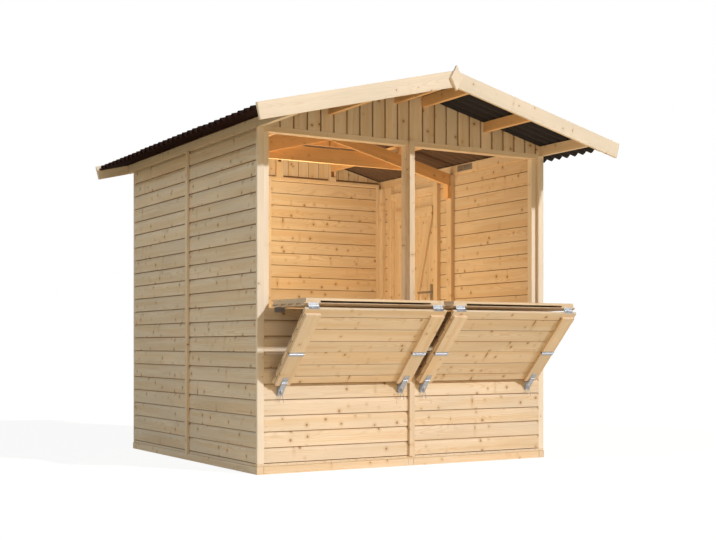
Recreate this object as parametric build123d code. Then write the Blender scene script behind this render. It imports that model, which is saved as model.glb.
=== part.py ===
from build123d import *
import math
import os

# Wooden market stall: boarded walls with a side door, two folding counters
# under the serving openings, and a gabled roof of corrugated sheet.
# X runs along the front, Y from the front wall to the rear, Z up.
# The origin lies on the ground, under the middle of the front wall's boards.
# All sizes are in millimetres.

# Walls
stall_width = 2008.0
stall_depth = 1945.0
wall_height = 1905.0
base_height = 58.0
base_beam_height = 43.0
base_beam_width = 40.0
base_proud = 3.0
board_thickness = 20.0
panel_joint = 2.0
gable_joint = 13.0
gable_joint_place = -13.5
stud_depth = 28.0
stud_width = 44.0
panel_edge_stud = 30.0
rail_height = 44.0
front_post_depth = 40.0
front_jamb_width = 32.0
centre_post_width = 56.0
front_plate_height = 30.0
front_plate_rise = 11.0
rear_plate_height = 18.0
rear_plate_rise = 37.0
rear_gable_gap = 10.0
rear_gable_rebate = 12.0
opening_height = 972.0
trim_thickness = 16.0
corner_board_width = 41.0
cover_batten_width = 36.0

# Roof
roof_pitch = 13.9
front_overhang = 434.0
rear_overhang = 129.0
eave_reach = 196.0
purlin_thickness = 28.0
purlin_height = 58.0
middle_purlin_place = 545.0
ridge_purlin_place = 100.0
sheet_thickness = 3.0
corrugation_height = 30.0
corrugation_pitch = 76.0
corrugation_flank = 50.0
ridge_gap = 10.0
ridge_cap_reach = 130.0
bargeboard_width = 90.0
bargeboard_thickness = 18.0
bargeboard_rise = 34.0
bargeboard_reach = 222.0
finial_width = 76.0
finial_height = 142.0
finial_thickness = 16.0
finial_rise = 26.0
upright_width = 36.0
gable_notch_clearance = 1.0

# Truss at mid-depth
rafter_height = 80.0
rafter_thickness = 28.0
collar_rise = 9.0
collar_height = 96.0
collar_end_height = 30.0
gusset_gap = 17.0
gusset_end_height = 14.0
rafter_cover = 12.0
cleat_height = 90.0
cleat_width = 56.0
splice_length = 170.0
splice_height = 40.0
splice_offset = 165.0
splice_hole = 9.0
splice_holes = 4
plate_thickness = 2.0

# Door
door_rear_margin = 215.0
door_width = 565.0
door_head_drop = 100.0
door_clearance = 5.0
door_post_width = 50.0
door_lintel_height = 44.0
door_stop_width = 13.0
ledge_height = 70.0
ledge_thickness = 16.0
ledge_inset = 30.0
top_ledge_drop = 155.0
bottom_ledge_rise = 160.0
brace_width = 70.0
handle_height = 1090.0
handle_backset = 50.0
handle_standoff = 45.0
handle_plate_width = 40.0
handle_plate_above = 60.0
handle_plate_below = 120.0
handle_plate_thickness = 3.0
lever_length = 115.0
lever_radius = 8.0
neck_radius = 9.0
spindle_radius = 5.0
door_hinge_drop = 190.0
door_hinge_rise = 195.0
strap_reach = 260.0
strap_height = 34.0
door_knuckle_radius = 6.0

# Folding counters
leaf_clearance = 5.0
leaf_jamb_clearance = 1.0
closing_clearance = 21.0
leaf_board_thickness = 16.0
shelf_reach = 380.0
fold_drop = 3.0
upper_leaf_length = 312.0
leaf_gap = 10.0
middle_gap = 2.0
hinge_rise = 4.0
knuckle_radius = 4.0
foot_standoff = 58.0
top_board_thickness = 14.0
top_board_inset = 12.0
shelf_batten_thickness = 11.0
leaf_batten_width = 90.0
leaf_batten_thickness = 17.0
leaf_batten_inset = 10.0
leaf_batten_drop = 27.0
hinge_length = 63.0
hinge_reach = 28.0
middle_hinge_length = 90.0
middle_hinge_reach = 14.0
knuckle_play = 0.5
hasp_width = 35.0
hasp_length = 85.0
hasp_plate_length = 38.0
hasp_setback = 25.0
hasp_tip_clearance = 5.0
hasp_slot_length = 36.0
hasp_slot_width = 12.0
hasp_slot_margin = 6.0
peg_radius = 3.0
peg_tip = 6.0
peg_plate_height = 48.0

contact = 0.3

# Worked out from the sizes above
half_width = stall_width / 2
board_inside = half_width - board_thickness
frame_inside = board_inside - stud_depth
rear_boards = stall_depth - board_thickness
rear_frame = rear_boards - stud_depth
middle = stall_depth / 2
slope = math.tan(math.radians(roof_pitch))
square = math.cos(math.radians(roof_pitch))
eave_purlin_place = half_width - purlin_thickness / 2
sheet_underside_at_ridge = wall_height + purlin_height + slope * eave_purlin_place
roof_front = -front_overhang
roof_rear = stall_depth + rear_overhang
sheet_run = half_width + eave_reach
front_post_back = board_thickness + front_post_depth
front_head = wall_height + front_plate_rise
rear_head = wall_height + rear_plate_rise
plate_bottom = front_head - front_plate_height
sill_height = plate_bottom - opening_height
jamb_edge = frame_inside - front_jamb_width
corner_edge = half_width - corner_board_width
centre_edge = centre_post_width / 2
door_end = stall_depth - door_rear_margin
door_place = door_end - door_width
door_head = wall_height - door_head_drop
collar_bottom = wall_height + collar_rise


def block(x0, x1, y0, y1, z0, z1):
    """A square-cut timber between two corners."""
    centre = Pos((x0 + x1) / 2, (y0 + y1) / 2, (z0 + z1) / 2)
    return centre * Box(x1 - x0, y1 - y0, z1 - z0)


def both_sides(make):
    """The same piece on the right, and mirrored on the left."""
    piece = make()
    return [piece, mirror(piece, about=Plane.YZ)]


def roof_line(x, drop=0.0):
    """Height of the plane the sheets lie on, lowered square to the slope."""
    return sheet_underside_at_ridge - slope * abs(x) - drop / square


def prism(points, y0, y1):
    """An outline in the X-Z plane, run along Y from y0 to y1."""
    outline = make_face(Polyline(*[(x, y0, z) for x, z in points], close=True))
    return extrude(outline, amount=y1 - y0, dir=(0, 1, 0))


def side_prism(points, x0, x1):
    """An outline in the Y-Z plane, run along X from x0 to x1."""
    outline = make_face(Polyline(*[(x0, y, z) for y, z in points], close=True))
    return extrude(outline, amount=x1 - x0, dir=(1, 0, 0))


def rod(radius, start, end):
    """A round bar between two points."""
    line = Vector(*end) - Vector(*start)
    return extrude(Plane(origin=start, z_dir=line) * Circle(radius), amount=line.length)


def write(name, solids):
    solids = solids if isinstance(solids, list) else [solids]
    parts = [solid for piece in solids for solid in piece.solids()]
    shape = parts[0] if len(parts) == 1 else Compound(children=parts)
    shape.label = name
    export_step(shape, f"parts/{name}.step")


# ---------------------------------------------------------------- walls
beam_side = half_width + base_proud
beam_end = stall_depth + base_proud


def base_end_strips():
    """Ground beams under the two ends, each with the bottom plate of its wall on it."""
    inner = beam_side - base_beam_width
    low = (0, base_beam_height)
    high = (base_beam_height, base_height)
    return [
        block(-inner, inner, -base_proud, base_beam_width - base_proud, *low),
        block(-half_width, half_width, 0, front_post_back, *high),
        block(-inner, inner, beam_end - base_beam_width, beam_end, *low),
        block(-half_width, half_width, rear_frame, stall_depth, *high),
    ]


def base_side_strips():
    """Ground beams that run the whole depth, with the side walls' bottom plates."""
    x = (beam_side - base_beam_width, beam_side)
    beams = both_sides(lambda: block(*x, -base_proud, beam_end, 0, base_beam_height))
    z = (base_beam_height, base_height)
    x = (frame_inside, half_width)
    return beams + both_sides(lambda: block(*x, front_post_back, rear_frame, *z))


def front_wall_boards():
    half_joint = panel_joint / 2
    return both_sides(
        lambda: block(half_joint, corner_edge, 0, board_thickness, base_height, sill_height)
    )


def rear_wall_boards():
    half_joint = panel_joint / 2
    z = (base_height, rear_head - rear_plate_height)
    return both_sides(lambda: block(half_joint, corner_edge, rear_boards, stall_depth, *z))


def side_boards(y0, y1, z0=base_height, z1=wall_height):
    return block(board_inside, half_width, y0, y1, z0, z1)


def left_wall_boards():
    half_joint = panel_joint / 2
    panels = [
        side_boards(board_thickness, middle - half_joint),
        side_boards(middle + half_joint, rear_boards),
    ]
    return [mirror(panel, about=Plane.YZ) for panel in panels]


def right_wall_front_boards():
    return side_boards(board_thickness, middle - panel_joint / 2)


def right_wall_middle_boards():
    return side_boards(middle + panel_joint / 2, door_place)


def right_wall_over_door_boards():
    return side_boards(door_place, door_end, door_head, wall_height)


def right_wall_rear_boards():
    return side_boards(door_end, rear_boards)


def corner_boards():
    """Corner strips, flush with the boards of both walls."""
    z = (base_height, wall_height)
    front = both_sides(lambda: block(corner_edge, half_width, 0, board_thickness, *z))
    rear = both_sides(lambda: block(corner_edge, half_width, rear_boards, stall_depth, *z))
    return front + rear


def cover_battens():
    """Battens over the panel joints in the middle of the four walls."""
    half = cover_batten_width / 2
    rear = stall_depth + trim_thickness
    outside = half_width + trim_thickness
    y = (middle - half, middle + half)
    z = (base_beam_height, wall_height)
    return [
        block(-half, half, -trim_thickness, 0, base_height, front_head),
        block(-half, half, stall_depth, rear, base_height, rear_head),
    ] + both_sides(lambda: block(half_width, outside, *y, *z))


def front_posts():
    z = (base_height, plate_bottom)
    y = (board_thickness, front_post_back)
    centre = block(-centre_edge, centre_edge, *y, *z)
    half = cover_batten_width / 2
    packing = block(-half, half, 0, board_thickness, sill_height, plate_bottom)
    return both_sides(lambda: block(jamb_edge, frame_inside, *y, *z)) + [centre, packing]


def front_sill_rails():
    y = (board_thickness, front_post_back)
    z = (sill_height - rail_height, sill_height)
    return both_sides(lambda: block(centre_edge, jamb_edge, *y, *z))


def side_studs():
    """Studs of one side wall: a corner stud at each end and a pair at the panel joint."""
    z = (base_height, wall_height)
    x = (frame_inside, board_inside)
    front = block(*x, board_thickness, front_post_back, *z)
    pair = block(*x, middle - panel_edge_stud, middle + panel_edge_stud, *z)
    rear = block(*x, rear_frame - stud_width, rear_frame, *z)
    return [front, pair, rear]


def rear_wall_studs():
    """A pair of studs in the middle, and corner studs cut back under the eave purlins."""
    y = (rear_frame, rear_boards)
    top = rear_head - rear_plate_height
    pair = block(-panel_edge_stud, panel_edge_stud, *y, base_height, top)
    inner = board_inside - stud_width

    def corner():
        stud = block(inner, board_inside, *y, base_height, wall_height)
        return stud + block(inner, frame_inside, *y, base_height, top)

    return both_sides(corner) + [pair]


def top_plates():
    z = (plate_bottom, front_head)
    front = block(-frame_inside, frame_inside, board_thickness, front_post_back, *z)
    front += block(-corner_edge, corner_edge, 0, board_thickness, *z)
    z = (rear_head - rear_plate_height, rear_head)
    rear = block(-frame_inside, frame_inside, rear_frame, rear_boards, *z)
    rear += block(-corner_edge, corner_edge, rear_boards, stall_depth, *z)
    return [front, rear]


# ---------------------------------------------------------------- roof
purlin_places = {
    "eave": eave_purlin_place,
    "middle": middle_purlin_place,
    "ridge": ridge_purlin_place,
}


def purlin_outline(place, play=0.0):
    """Section of a purlin on edge, its top bevelled to the slope."""
    inner = place - purlin_thickness / 2 - play
    outer = place + purlin_thickness / 2 + play
    bottom = roof_line(place) - purlin_height - play
    return [
        (inner, bottom),
        (outer, bottom),
        (outer, roof_line(outer) + play),
        (inner, roof_line(inner) + play),
    ]


def purlins(kind):
    outline = purlin_outline(purlin_places[kind])
    return both_sides(lambda: prism(outline, roof_front, roof_rear))


def gable_boards(y0, y1, foot):
    """The two panels of a gable, let in round the purlins that pass through it."""
    top = gable_notch_clearance
    side = roof_line(half_width, top)
    boards = prism(
        [
            (-half_width, wall_height),
            (-corner_edge, wall_height),
            (-corner_edge, foot),
            (corner_edge, foot),
            (corner_edge, wall_height),
            (half_width, wall_height),
            (half_width, side),
            (0, roof_line(0, top)),
            (-half_width, side),
        ],
        y0,
        y1,
    )
    for place in purlin_places.values():
        notch = prism(purlin_outline(place, gable_notch_clearance), y0, y1)
        boards = boards - notch - mirror(notch, about=Plane.YZ)
    start = gable_joint_place - gable_joint / 2
    boards -= block(start, start + gable_joint, y0, y1, foot, sheet_underside_at_ridge)
    return sorted(boards.solids(), key=lambda solid: -solid.volume)[:2]


def rear_gable_boards():
    """The rear gable, whose panels stand clear of the wall plate on the inside."""
    z = (rear_head, rear_head + rear_gable_gap)
    y = (rear_boards, rear_boards + rear_gable_rebate)
    rebate = block(-half_width, half_width, *y, *z)
    keep = both_sides(lambda: block(corner_edge, half_width, *y, *z))
    rebate = rebate - keep[0] - keep[1]
    return [panel - rebate for panel in gable_boards(rear_boards, stall_depth, rear_head)]


def gable_uprights():
    """Short uprights that stand on the end walls, under the purlins and behind the front joint."""
    half = upright_width / 2
    found = []
    for y0, y1, foot in (
        (board_thickness, front_post_back, front_head),
        (rear_frame, rear_boards, rear_head),
    ):
        for place in (middle_purlin_place, ridge_purlin_place):
            head = roof_line(place) - purlin_height
            found += both_sides(lambda: block(place - half, place + half, y0, y1, foot, head))
    side = roof_line(half, gable_notch_clearance)
    top = roof_line(0, gable_notch_clearance)
    outline = [(-half, front_head), (half, front_head), (half, side), (0, top), (-half, side)]
    return found + [prism(outline, board_thickness, front_post_back)]


rafter_top_at_ridge = sheet_underside_at_ridge - purlin_height - purlin_thickness / 2 * slope


def rafter_line(x, drop=0.0):
    return rafter_top_at_ridge - slope * abs(x) - drop / square


def truss_rafters():
    end = frame_inside - contact
    start = panel_joint / 4
    outline = [
        (start, rafter_line(start, rafter_height)),
        (end, rafter_line(end, rafter_height)),
        (end, rafter_line(end)),
        (start, rafter_line(start)),
    ]
    half = rafter_thickness / 2
    return both_sides(lambda: prism(outline, middle - half, middle + half))


def collar_tie():
    """Board behind the rafters that ties them, and the gusset board of their ridge joint."""
    y = (middle + rafter_thickness / 2, middle + 1.5 * rafter_thickness)

    def tie(z0, z1, end_height):
        """Board from z0 to z1, its upper corners cut back below the rafters' tops."""
        peak = rafter_line(0, rafter_cover)
        reach = (peak - z0 - end_height) / slope
        flat = max((peak - z1) / slope, 0)
        top = [(flat, z1), (-flat, z1)] if flat else [(0, peak)]
        outline = [(-reach, z0), (reach, z0), (reach, z0 + end_height)]
        return prism(outline + top + [(-reach, z0 + end_height)], *y)

    collar_top = collar_bottom + collar_height
    gusset_bottom = collar_top + gusset_gap
    return [
        tie(collar_bottom, collar_top, collar_end_height),
        tie(gusset_bottom, sheet_underside_at_ridge, gusset_end_height),
    ]


def truss_cleats():
    """Blocks on the studs that the rafter feet stand on."""
    inner = frame_inside - stud_depth
    outline = [
        (inner, rafter_line(frame_inside, rafter_height) - cleat_height),
        (frame_inside, rafter_line(frame_inside, rafter_height) - cleat_height),
        (frame_inside, rafter_line(frame_inside, rafter_height)),
        (inner, rafter_line(inner, rafter_height)),
    ]
    half = cleat_width / 2
    return both_sides(lambda: prism(outline, middle - half, middle + half))


def splice_plates():
    """Perforated plates on the inside of the eave purlins."""
    face = half_width - purlin_thickness
    start = middle - splice_offset - splice_length / 2
    z_mid = roof_line(face) - purlin_height / 2

    def plate():
        made = block(
            face - plate_thickness,
            face,
            start,
            start + splice_length,
            z_mid - splice_height / 2,
            z_mid + splice_height / 2,
        )
        for number in range(splice_holes):
            y = start + splice_length * (number + 0.5) / splice_holes
            made -= rod(
                splice_hole / 2,
                (face - 2 * plate_thickness, y, z_mid),
                (face + plate_thickness, y, z_mid),
            )
        return made

    return both_sides(plate)


waves = round((roof_rear - roof_front) / corrugation_pitch)
half_wave = (roof_rear - roof_front) / waves / 2


def corrugation_side(offset):
    """One face of the sheet: straight flanks with rounded crests and valleys."""
    flank = math.radians(corrugation_flank)
    flat = math.cos(flank)
    reach = half_wave * math.tan(flank)
    height = corrugation_height - sheet_thickness
    radius = (reach - height) / 2 * flat / (1 - flat)
    lift = offset / flat
    points = [(roof_front, lift)]
    radii = []
    for number in range(2 * waves):
        crest = number % 2 == 0
        y = roof_front + half_wave * (number + 0.5)
        points.append((y, lift + (reach / 2 if crest else -reach / 2)))
        radii.append(radius + offset if crest else radius - offset)
    points.append((roof_rear, lift))
    return FilletPolyline(*points, radius=radii)


def roof_sheet():
    upper = corrugation_side(sheet_thickness / 2)
    lower = corrugation_side(-sheet_thickness / 2)
    ends = [Line(upper @ 0, lower @ 0), Line(upper @ 1, lower @ 1)]
    outline = make_face(upper.edges() + lower.edges() + ends)
    angle = math.radians(roof_pitch)
    lift = corrugation_height / 2 + contact
    start = Vector(
        ridge_gap + lift * math.sin(angle),
        0,
        roof_line(ridge_gap) + lift * math.cos(angle),
    )
    down = Vector(math.cos(angle), 0, -math.sin(angle))
    place = Plane(origin=start, x_dir=(0, 1, 0), z_dir=down)
    return extrude(place * outline, amount=(sheet_run - ridge_gap) / square)


def ridge_cap():
    """Folded cap that rests on the crests each side of the ridge."""
    low = corrugation_height + 2 * contact
    high = low + sheet_thickness
    reach = ridge_cap_reach * square
    outline = [
        (0, roof_line(0, -low)),
        (reach, roof_line(reach, -low)),
        (reach, roof_line(reach, -high)),
        (0, roof_line(0, -high)),
        (-reach, roof_line(reach, -high)),
        (-reach, roof_line(reach, -low)),
    ]
    return prism(outline, roof_front, roof_rear)


bargeboard_top = sheet_underside_at_ridge + bargeboard_rise


def bargeboard(y0, y1):
    """Right-hand bargeboard, plumb at the ridge and square at its foot."""
    sine = slope * square
    start = contact / 2
    foot = half_width + bargeboard_reach
    top = bargeboard_top - slope * foot
    outline = [
        (start, bargeboard_top - slope * start),
        (foot, top),
        (foot - bargeboard_width * sine, top - bargeboard_width * square),
        (start, bargeboard_top - slope * start - bargeboard_width / square),
    ]
    return prism(outline, y0, y1)


def bargeboards(y0, y1):
    return both_sides(lambda: bargeboard(y0, y1))


front_barge_face = roof_front - bargeboard_thickness
rear_barge_face = roof_rear + bargeboard_thickness


def finials():
    """Diamond boards over the meeting of the bargeboards, front and rear."""
    top = bargeboard_top + finial_rise
    half = finial_width / 2
    centre = top - finial_height / 2
    outline = [(0, top), (half, centre), (0, top - finial_height), (-half, centre)]
    return [
        prism(outline, front_barge_face - finial_thickness, front_barge_face),
        prism(outline, rear_barge_face, rear_barge_face + finial_thickness),
    ]


# ---------------------------------------------------------------- door
leaf_front = door_place + door_clearance
leaf_rear = door_end - door_clearance
leaf_bottom = base_height + door_clearance
leaf_top = door_head - door_clearance
door_axis = (half_width + door_knuckle_radius + knuckle_play, door_end)


def door_frame():
    """Two posts and a lintel behind the wall boards, round the doorway."""
    x = (frame_inside, board_inside)
    z = (base_height, wall_height)
    front = block(*x, door_place - door_post_width, door_place, *z)
    rear = block(*x, door_end, door_end + door_post_width, *z)
    lintel = block(*x, door_place, door_end, door_head, door_head + door_lintel_height)
    return [front + rear + lintel] + door_stops()


def door_stops():
    """Strips in the doorway that the closed leaf rests against."""
    x = (frame_inside + door_stop_width, board_inside - contact)
    top = door_head - door_stop_width
    return [
        block(*x, door_place, door_place + door_stop_width, base_height, top),
        block(*x, door_end - door_stop_width, door_end, base_height, top),
        block(*x, door_place, door_end, top, door_head),
    ]


def door_boards():
    boards = side_boards(leaf_front, leaf_rear, leaf_bottom, leaf_top)
    y = leaf_front + handle_backset
    hole = spindle_radius + contact
    return boards - rod(hole, (board_inside, y, handle_height), (half_width, y, handle_height))


ledge_face = board_inside - ledge_thickness
top_ledge = leaf_top - top_ledge_drop
bottom_ledge = leaf_bottom + bottom_ledge_rise


def door_ledges():
    y = (leaf_front + ledge_inset, leaf_rear - ledge_inset)
    x = (ledge_face, board_inside)
    high = block(*x, *y, top_ledge, top_ledge + ledge_height)
    low = block(*x, *y, bottom_ledge, bottom_ledge + ledge_height)
    return [high, low]


def door_brace():
    """Diagonal from the foot on the hinge side up to the free side."""
    low = bottom_ledge + ledge_height
    rear = leaf_rear - ledge_inset
    front = leaf_front + ledge_inset
    rise = top_ledge - low
    run = rear - front
    across = brace_width * math.hypot(rise, run) / rise
    outline = [
        (rear - across, low),
        (rear, low),
        (front + across, top_ledge),
        (front, top_ledge),
    ]
    return side_prism(outline, ledge_face, board_inside)


door_hinge_heights = [leaf_bottom + door_hinge_rise, leaf_top - door_hinge_drop]


def door_hinge_part(height, moving):
    """A strap on the leaf, or a plate on the wall, with its share of the knuckle."""
    x, y = door_axis
    third = strap_height / 3
    face = half_width + plate_thickness
    z0 = height - strap_height / 2
    spans = [(third, 2 * third)] if moving else [(0, third), (2 * third, strap_height)]
    reach = strap_reach if moving else 2 * strap_height
    way = -1 if moving else 1
    near = y + way * (door_knuckle_radius + knuckle_play)
    made = block(half_width, face, *sorted((near, y + way * reach)), z0, z0 + strap_height)
    for low, high in spans:
        low = z0 + low + (knuckle_play / 2 if low else 0)
        high = z0 + high - (knuckle_play / 2 if high < strap_height else 0)
        made += block(half_width, face, *sorted((y, near)), low, high)
        made += rod(door_knuckle_radius, (x, y, low), (x, y, high))
    return made


def door_hinge_straps():
    return [door_hinge_part(height, True) for height in door_hinge_heights]


def door_hinge_plates():
    return [door_hinge_part(height, False) for height in door_hinge_heights]


def door_handle():
    """Lever handles with long plates on both faces, on one spindle."""
    y = leaf_front + handle_backset
    z = handle_height
    half = handle_plate_width / 2
    up_down = (z - handle_plate_below, z + handle_plate_above)
    made = rod(spindle_radius, (board_inside, y, z), (half_width, y, z))
    for face, way in ((board_inside, -1), (half_width, 1)):
        back = sorted((face, face + way * handle_plate_thickness))
        out = face + way * handle_standoff
        made += block(*back, y - half, y + half, *up_down)
        made += rod(neck_radius, (face, y, z), (out + way * neck_radius, y, z))
        made += rod(lever_radius, (out, y, z), (out, y + lever_length, z))
    return made


# ---------------------------------------------------------------- counters
# A counter is a run of leaves hinged at the sill. It is drawn on its right-hand
# side of the stall and mirrored for the left. Open, the shelf lies level and the
# other two leaves make one brace from its edge back to the wall.
leaf_inner = cover_batten_width / 2 + leaf_clearance
leaf_outer = jamb_edge - leaf_jamb_clearance
sill_axis = (-leaf_clearance, sill_height + hinge_rise)
shelf_start = sill_axis[0] - leaf_clearance
shelf_end = shelf_start - shelf_reach
fold_axis = (shelf_end - leaf_gap / 2, sill_axis[1] - fold_drop)
closed_room = plate_bottom - closing_clearance - (sill_axis[1] + leaf_clearance)
lower_leaf_length = closed_room - shelf_reach - leaf_gap - upper_leaf_length - middle_gap
outer_face = sill_axis[1]
inner_face = outer_face + leaf_board_thickness
batten_face = inner_face + leaf_batten_thickness
upper_start = shelf_end - leaf_gap
upper_end = upper_start - upper_leaf_length
lower_start = upper_end - middle_gap
lower_end = lower_start - lower_leaf_length
middle_axis = ((upper_end + lower_start) / 2, batten_face + plate_thickness / 2)
hasp_axis = (lower_end + hasp_setback, batten_face + knuckle_radius + knuckle_play)


def fold_to_wall():
    """Turn that brings the hasp axis of the brace to its standoff from the wall."""
    dy = hasp_axis[0] - fold_axis[0]
    dz = hasp_axis[1] - fold_axis[1]
    reach = -foot_standoff - fold_axis[0]
    turn = -math.acos(reach / math.hypot(dy, dz)) - math.atan2(dz, dy)
    return math.degrees(turn) % 360


counter_fold = fold_to_wall()
batten_starts = [
    leaf_inner + leaf_batten_inset,
    leaf_outer - leaf_batten_inset - leaf_batten_width,
]
hinge_places = [start + leaf_batten_width / 2 for start in batten_starts]


def folded(piece):
    """Turns a brace piece, drawn level beyond the shelf, down to its open place."""
    return piece.rotate(Axis((0, *fold_axis), (1, 0, 0)), counter_fold)


def folded_point(y, z):
    angle = math.radians(counter_fold)
    dy = y - fold_axis[0]
    dz = z - fold_axis[1]
    turned_y = dy * math.cos(angle) - dz * math.sin(angle)
    turned_z = dy * math.sin(angle) + dz * math.cos(angle)
    return fold_axis[0] + turned_y, fold_axis[1] + turned_z


def knuckles(place, axis, length, middle_part):
    """Shares of a hinge knuckle: the middle third, or the two outer thirds."""
    third = length / 3
    start = place - length / 2
    if middle_part:
        spans = [(start + third + knuckle_play / 2, start + 2 * third - knuckle_play / 2)]
    else:
        spans = [
            (start, start + third - knuckle_play / 2),
            (start + 2 * third + knuckle_play / 2, start + length),
        ]
    return spans, [rod(knuckle_radius, (a, *axis), (b, *axis)) for a, b in spans]


def hinge_leaf(place, axis, length, reach, middle_part, near, along):
    """A flat hinge leaf beside its axis.

    near is the distance from the axis to the leaf's first face, and along is
    the way the leaf runs from the axis: "down", "up" or "out".
    """
    y, z = axis
    clear = knuckle_radius + knuckle_play

    def flat(x0, x1, start, end):
        if along == "out":
            return block(x0, x1, y - end, y - start, z + near, z + near + plate_thickness)
        low, high = (z - end, z - start) if along == "down" else (z + start, z + end)
        return block(x0, x1, y + near, y + near + plate_thickness, low, high)

    spans, made = knuckles(place, axis, length, middle_part)
    leaf = flat(place - length / 2, place + length / 2, clear, reach)
    for (x0, x1), knuckle in zip(spans, made):
        leaf += flat(x0, x1, 0, clear) + knuckle
    return leaf


def shelf_boards():
    z = (outer_face, inner_face)
    return block(leaf_inner, leaf_outer, shelf_end, shelf_start, *z)


def shelf_top():
    """Smooth top board, held off the shelf's own boards by two battens."""
    x = (leaf_inner + top_board_inset, leaf_outer - top_board_inset)
    y = (shelf_end, shelf_start)
    low = inner_face + shelf_batten_thickness
    found = [block(*x, *y, low, low + top_board_thickness)]
    for start in batten_starts:
        found.append(block(start, start + leaf_batten_width, *y, inner_face, low))
    return found


def shelf_hinges():
    found = []
    for place in hinge_places:
        found.append(
            hinge_leaf(place, sill_axis, hinge_length, hinge_reach, True, -plate_thickness, "out")
        )
        edge = leaf_gap / 2 - plate_thickness
        reach = leaf_board_thickness + fold_drop
        found.append(hinge_leaf(place, fold_axis, hinge_length, reach, False, edge, "up"))
    return found


def sill_hinge_plates():
    near = leaf_clearance - plate_thickness
    return [
        hinge_leaf(place, sill_axis, hinge_length, hinge_reach, False, near, "down")
        for place in hinge_places
    ]


def brace_boards():
    x = (leaf_inner, leaf_outer)
    z = (outer_face, inner_face)
    upper = block(*x, upper_end, upper_start, *z)
    lower = block(*x, lower_end, lower_start, *z)
    return [folded(upper), folded(lower)]


def brace_battens():
    found = []
    z = (inner_face, batten_face)
    for start in batten_starts:
        x = (start, start + leaf_batten_width)
        middle_end = middle_axis[0] + leaf_gap / 2
        found.append(folded(block(*x, middle_end, upper_start - leaf_batten_drop, *z)))
        found.append(folded(block(*x, lower_end, middle_axis[0] - leaf_gap / 2, *z)))
    return found


def brace_hinges():
    found = []
    face = batten_face
    for place in hinge_places:
        near = -leaf_gap / 2
        reach = leaf_board_thickness + fold_drop
        found.append(
            folded(hinge_leaf(place, fold_axis, hinge_length, reach, True, near, "up"))
        )
        half = middle_hinge_length / 2
        y = middle_axis[0]
        z = (face, face + plate_thickness)
        hinge = block(
            place - half,
            place + half,
            y - middle_hinge_reach,
            y + middle_hinge_reach,
            *z,
        )
        hinge += rod(knuckle_radius, (place - half, *middle_axis), (place + half, *middle_axis))
        found.append(folded(hinge))
        hy = hasp_axis[0]
        spans, made = knuckles(place, hasp_axis, hasp_width, False)
        clear = hy + knuckle_radius + knuckle_play
        wide = hasp_width / 2
        plate = block(place - wide, place + wide, clear, hy + hasp_plate_length, *z)
        for (x0, x1), knuckle in zip(spans, made):
            plate += block(x0, x1, hy, clear, *z) + knuckle
        found.append(folded(plate))
    return found


hasp_pivot = folded_point(*hasp_axis)
hasp_lean = math.acos((-hasp_tip_clearance - hasp_pivot[0]) / hasp_length)
slot_middle = hasp_length - hasp_slot_margin - hasp_slot_length / 2
peg_reach = -hasp_pivot[0] - slot_middle * math.cos(hasp_lean)
peg_height = hasp_pivot[1] - slot_middle * math.sin(hasp_lean)


def hasps():
    """Slotted straps that drop over the pegs and hold the brace's foot."""
    y, z = hasp_pivot
    found = []
    for place in hinge_places:
        spans, made = knuckles(place, hasp_pivot, hasp_width, True)
        wide = hasp_width / 2
        clear = knuckle_radius + knuckle_play
        half = plate_thickness / 2
        strap = block(place - wide, place + wide, y + clear, y + hasp_length, z - half, z + half)
        for (x0, x1), knuckle in zip(spans, made):
            strap += block(x0, x1, y, y + clear, z - half, z + half) + knuckle
        strap -= block(
            place - hasp_slot_width / 2,
            place + hasp_slot_width / 2,
            y + slot_middle - hasp_slot_length / 2,
            y + slot_middle + hasp_slot_length / 2,
            z - plate_thickness,
            z + plate_thickness,
        )
        found.append(strap.rotate(Axis((0, y, z), (1, 0, 0)), -math.degrees(hasp_lean)))
    return found


def hasp_pegs():
    """Wall plates with a peg that the slot of each hasp passes over."""
    found = []
    half = peg_plate_height / 2
    wide = hasp_width / 2
    z = (peg_height - half, peg_height + half)
    for place in hinge_places:
        plate = block(place - wide, place + wide, -plate_thickness, 0, *z)
        tip = (place, -peg_reach - peg_tip, peg_height)
        found.append(plate + rod(peg_radius, (place, -plate_thickness / 2, peg_height), tip))
    return found


def left(pieces):
    pieces = pieces if isinstance(pieces, list) else [pieces]
    return [mirror(piece, about=Plane.YZ) for piece in pieces]


os.makedirs("parts", exist_ok=True)

write("base_end_strips", base_end_strips())
write("base_side_strips", base_side_strips())
write("front_wall_boards", front_wall_boards())
write("rear_wall_boards", rear_wall_boards())
write("left_wall_boards", left_wall_boards())
write("right_wall_front_boards", right_wall_front_boards())
write("right_wall_middle_boards", right_wall_middle_boards())
write("right_wall_over_door_boards", right_wall_over_door_boards())
write("right_wall_rear_boards", right_wall_rear_boards())
write("corner_boards", corner_boards())
write("cover_battens", cover_battens())
write("front_posts", front_posts())
write("front_sill_rails", front_sill_rails())
write("right_wall_studs", side_studs())
write("left_wall_studs", left(side_studs()))
write("rear_wall_studs", rear_wall_studs())
write("top_plates", top_plates())

write("eave_purlins", purlins("eave"))
write("middle_purlins", purlins("middle"))
write("ridge_purlins", purlins("ridge"))
write("front_gable_boards", gable_boards(0, board_thickness, front_head))
write("rear_gable_boards", rear_gable_boards())
write("gable_uprights", gable_uprights())
write("truss_rafters", truss_rafters())
write("truss_cleats", truss_cleats())
write("collar_tie", collar_tie())
write("splice_plates", splice_plates())
write("roof_sheet_right", roof_sheet())
write("roof_sheet_left", left(roof_sheet()))
write("ridge_cap", ridge_cap())
write("front_bargeboards", bargeboards(front_barge_face, roof_front))
write("rear_bargeboards", bargeboards(roof_rear, rear_barge_face))
write("finials", finials())

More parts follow.
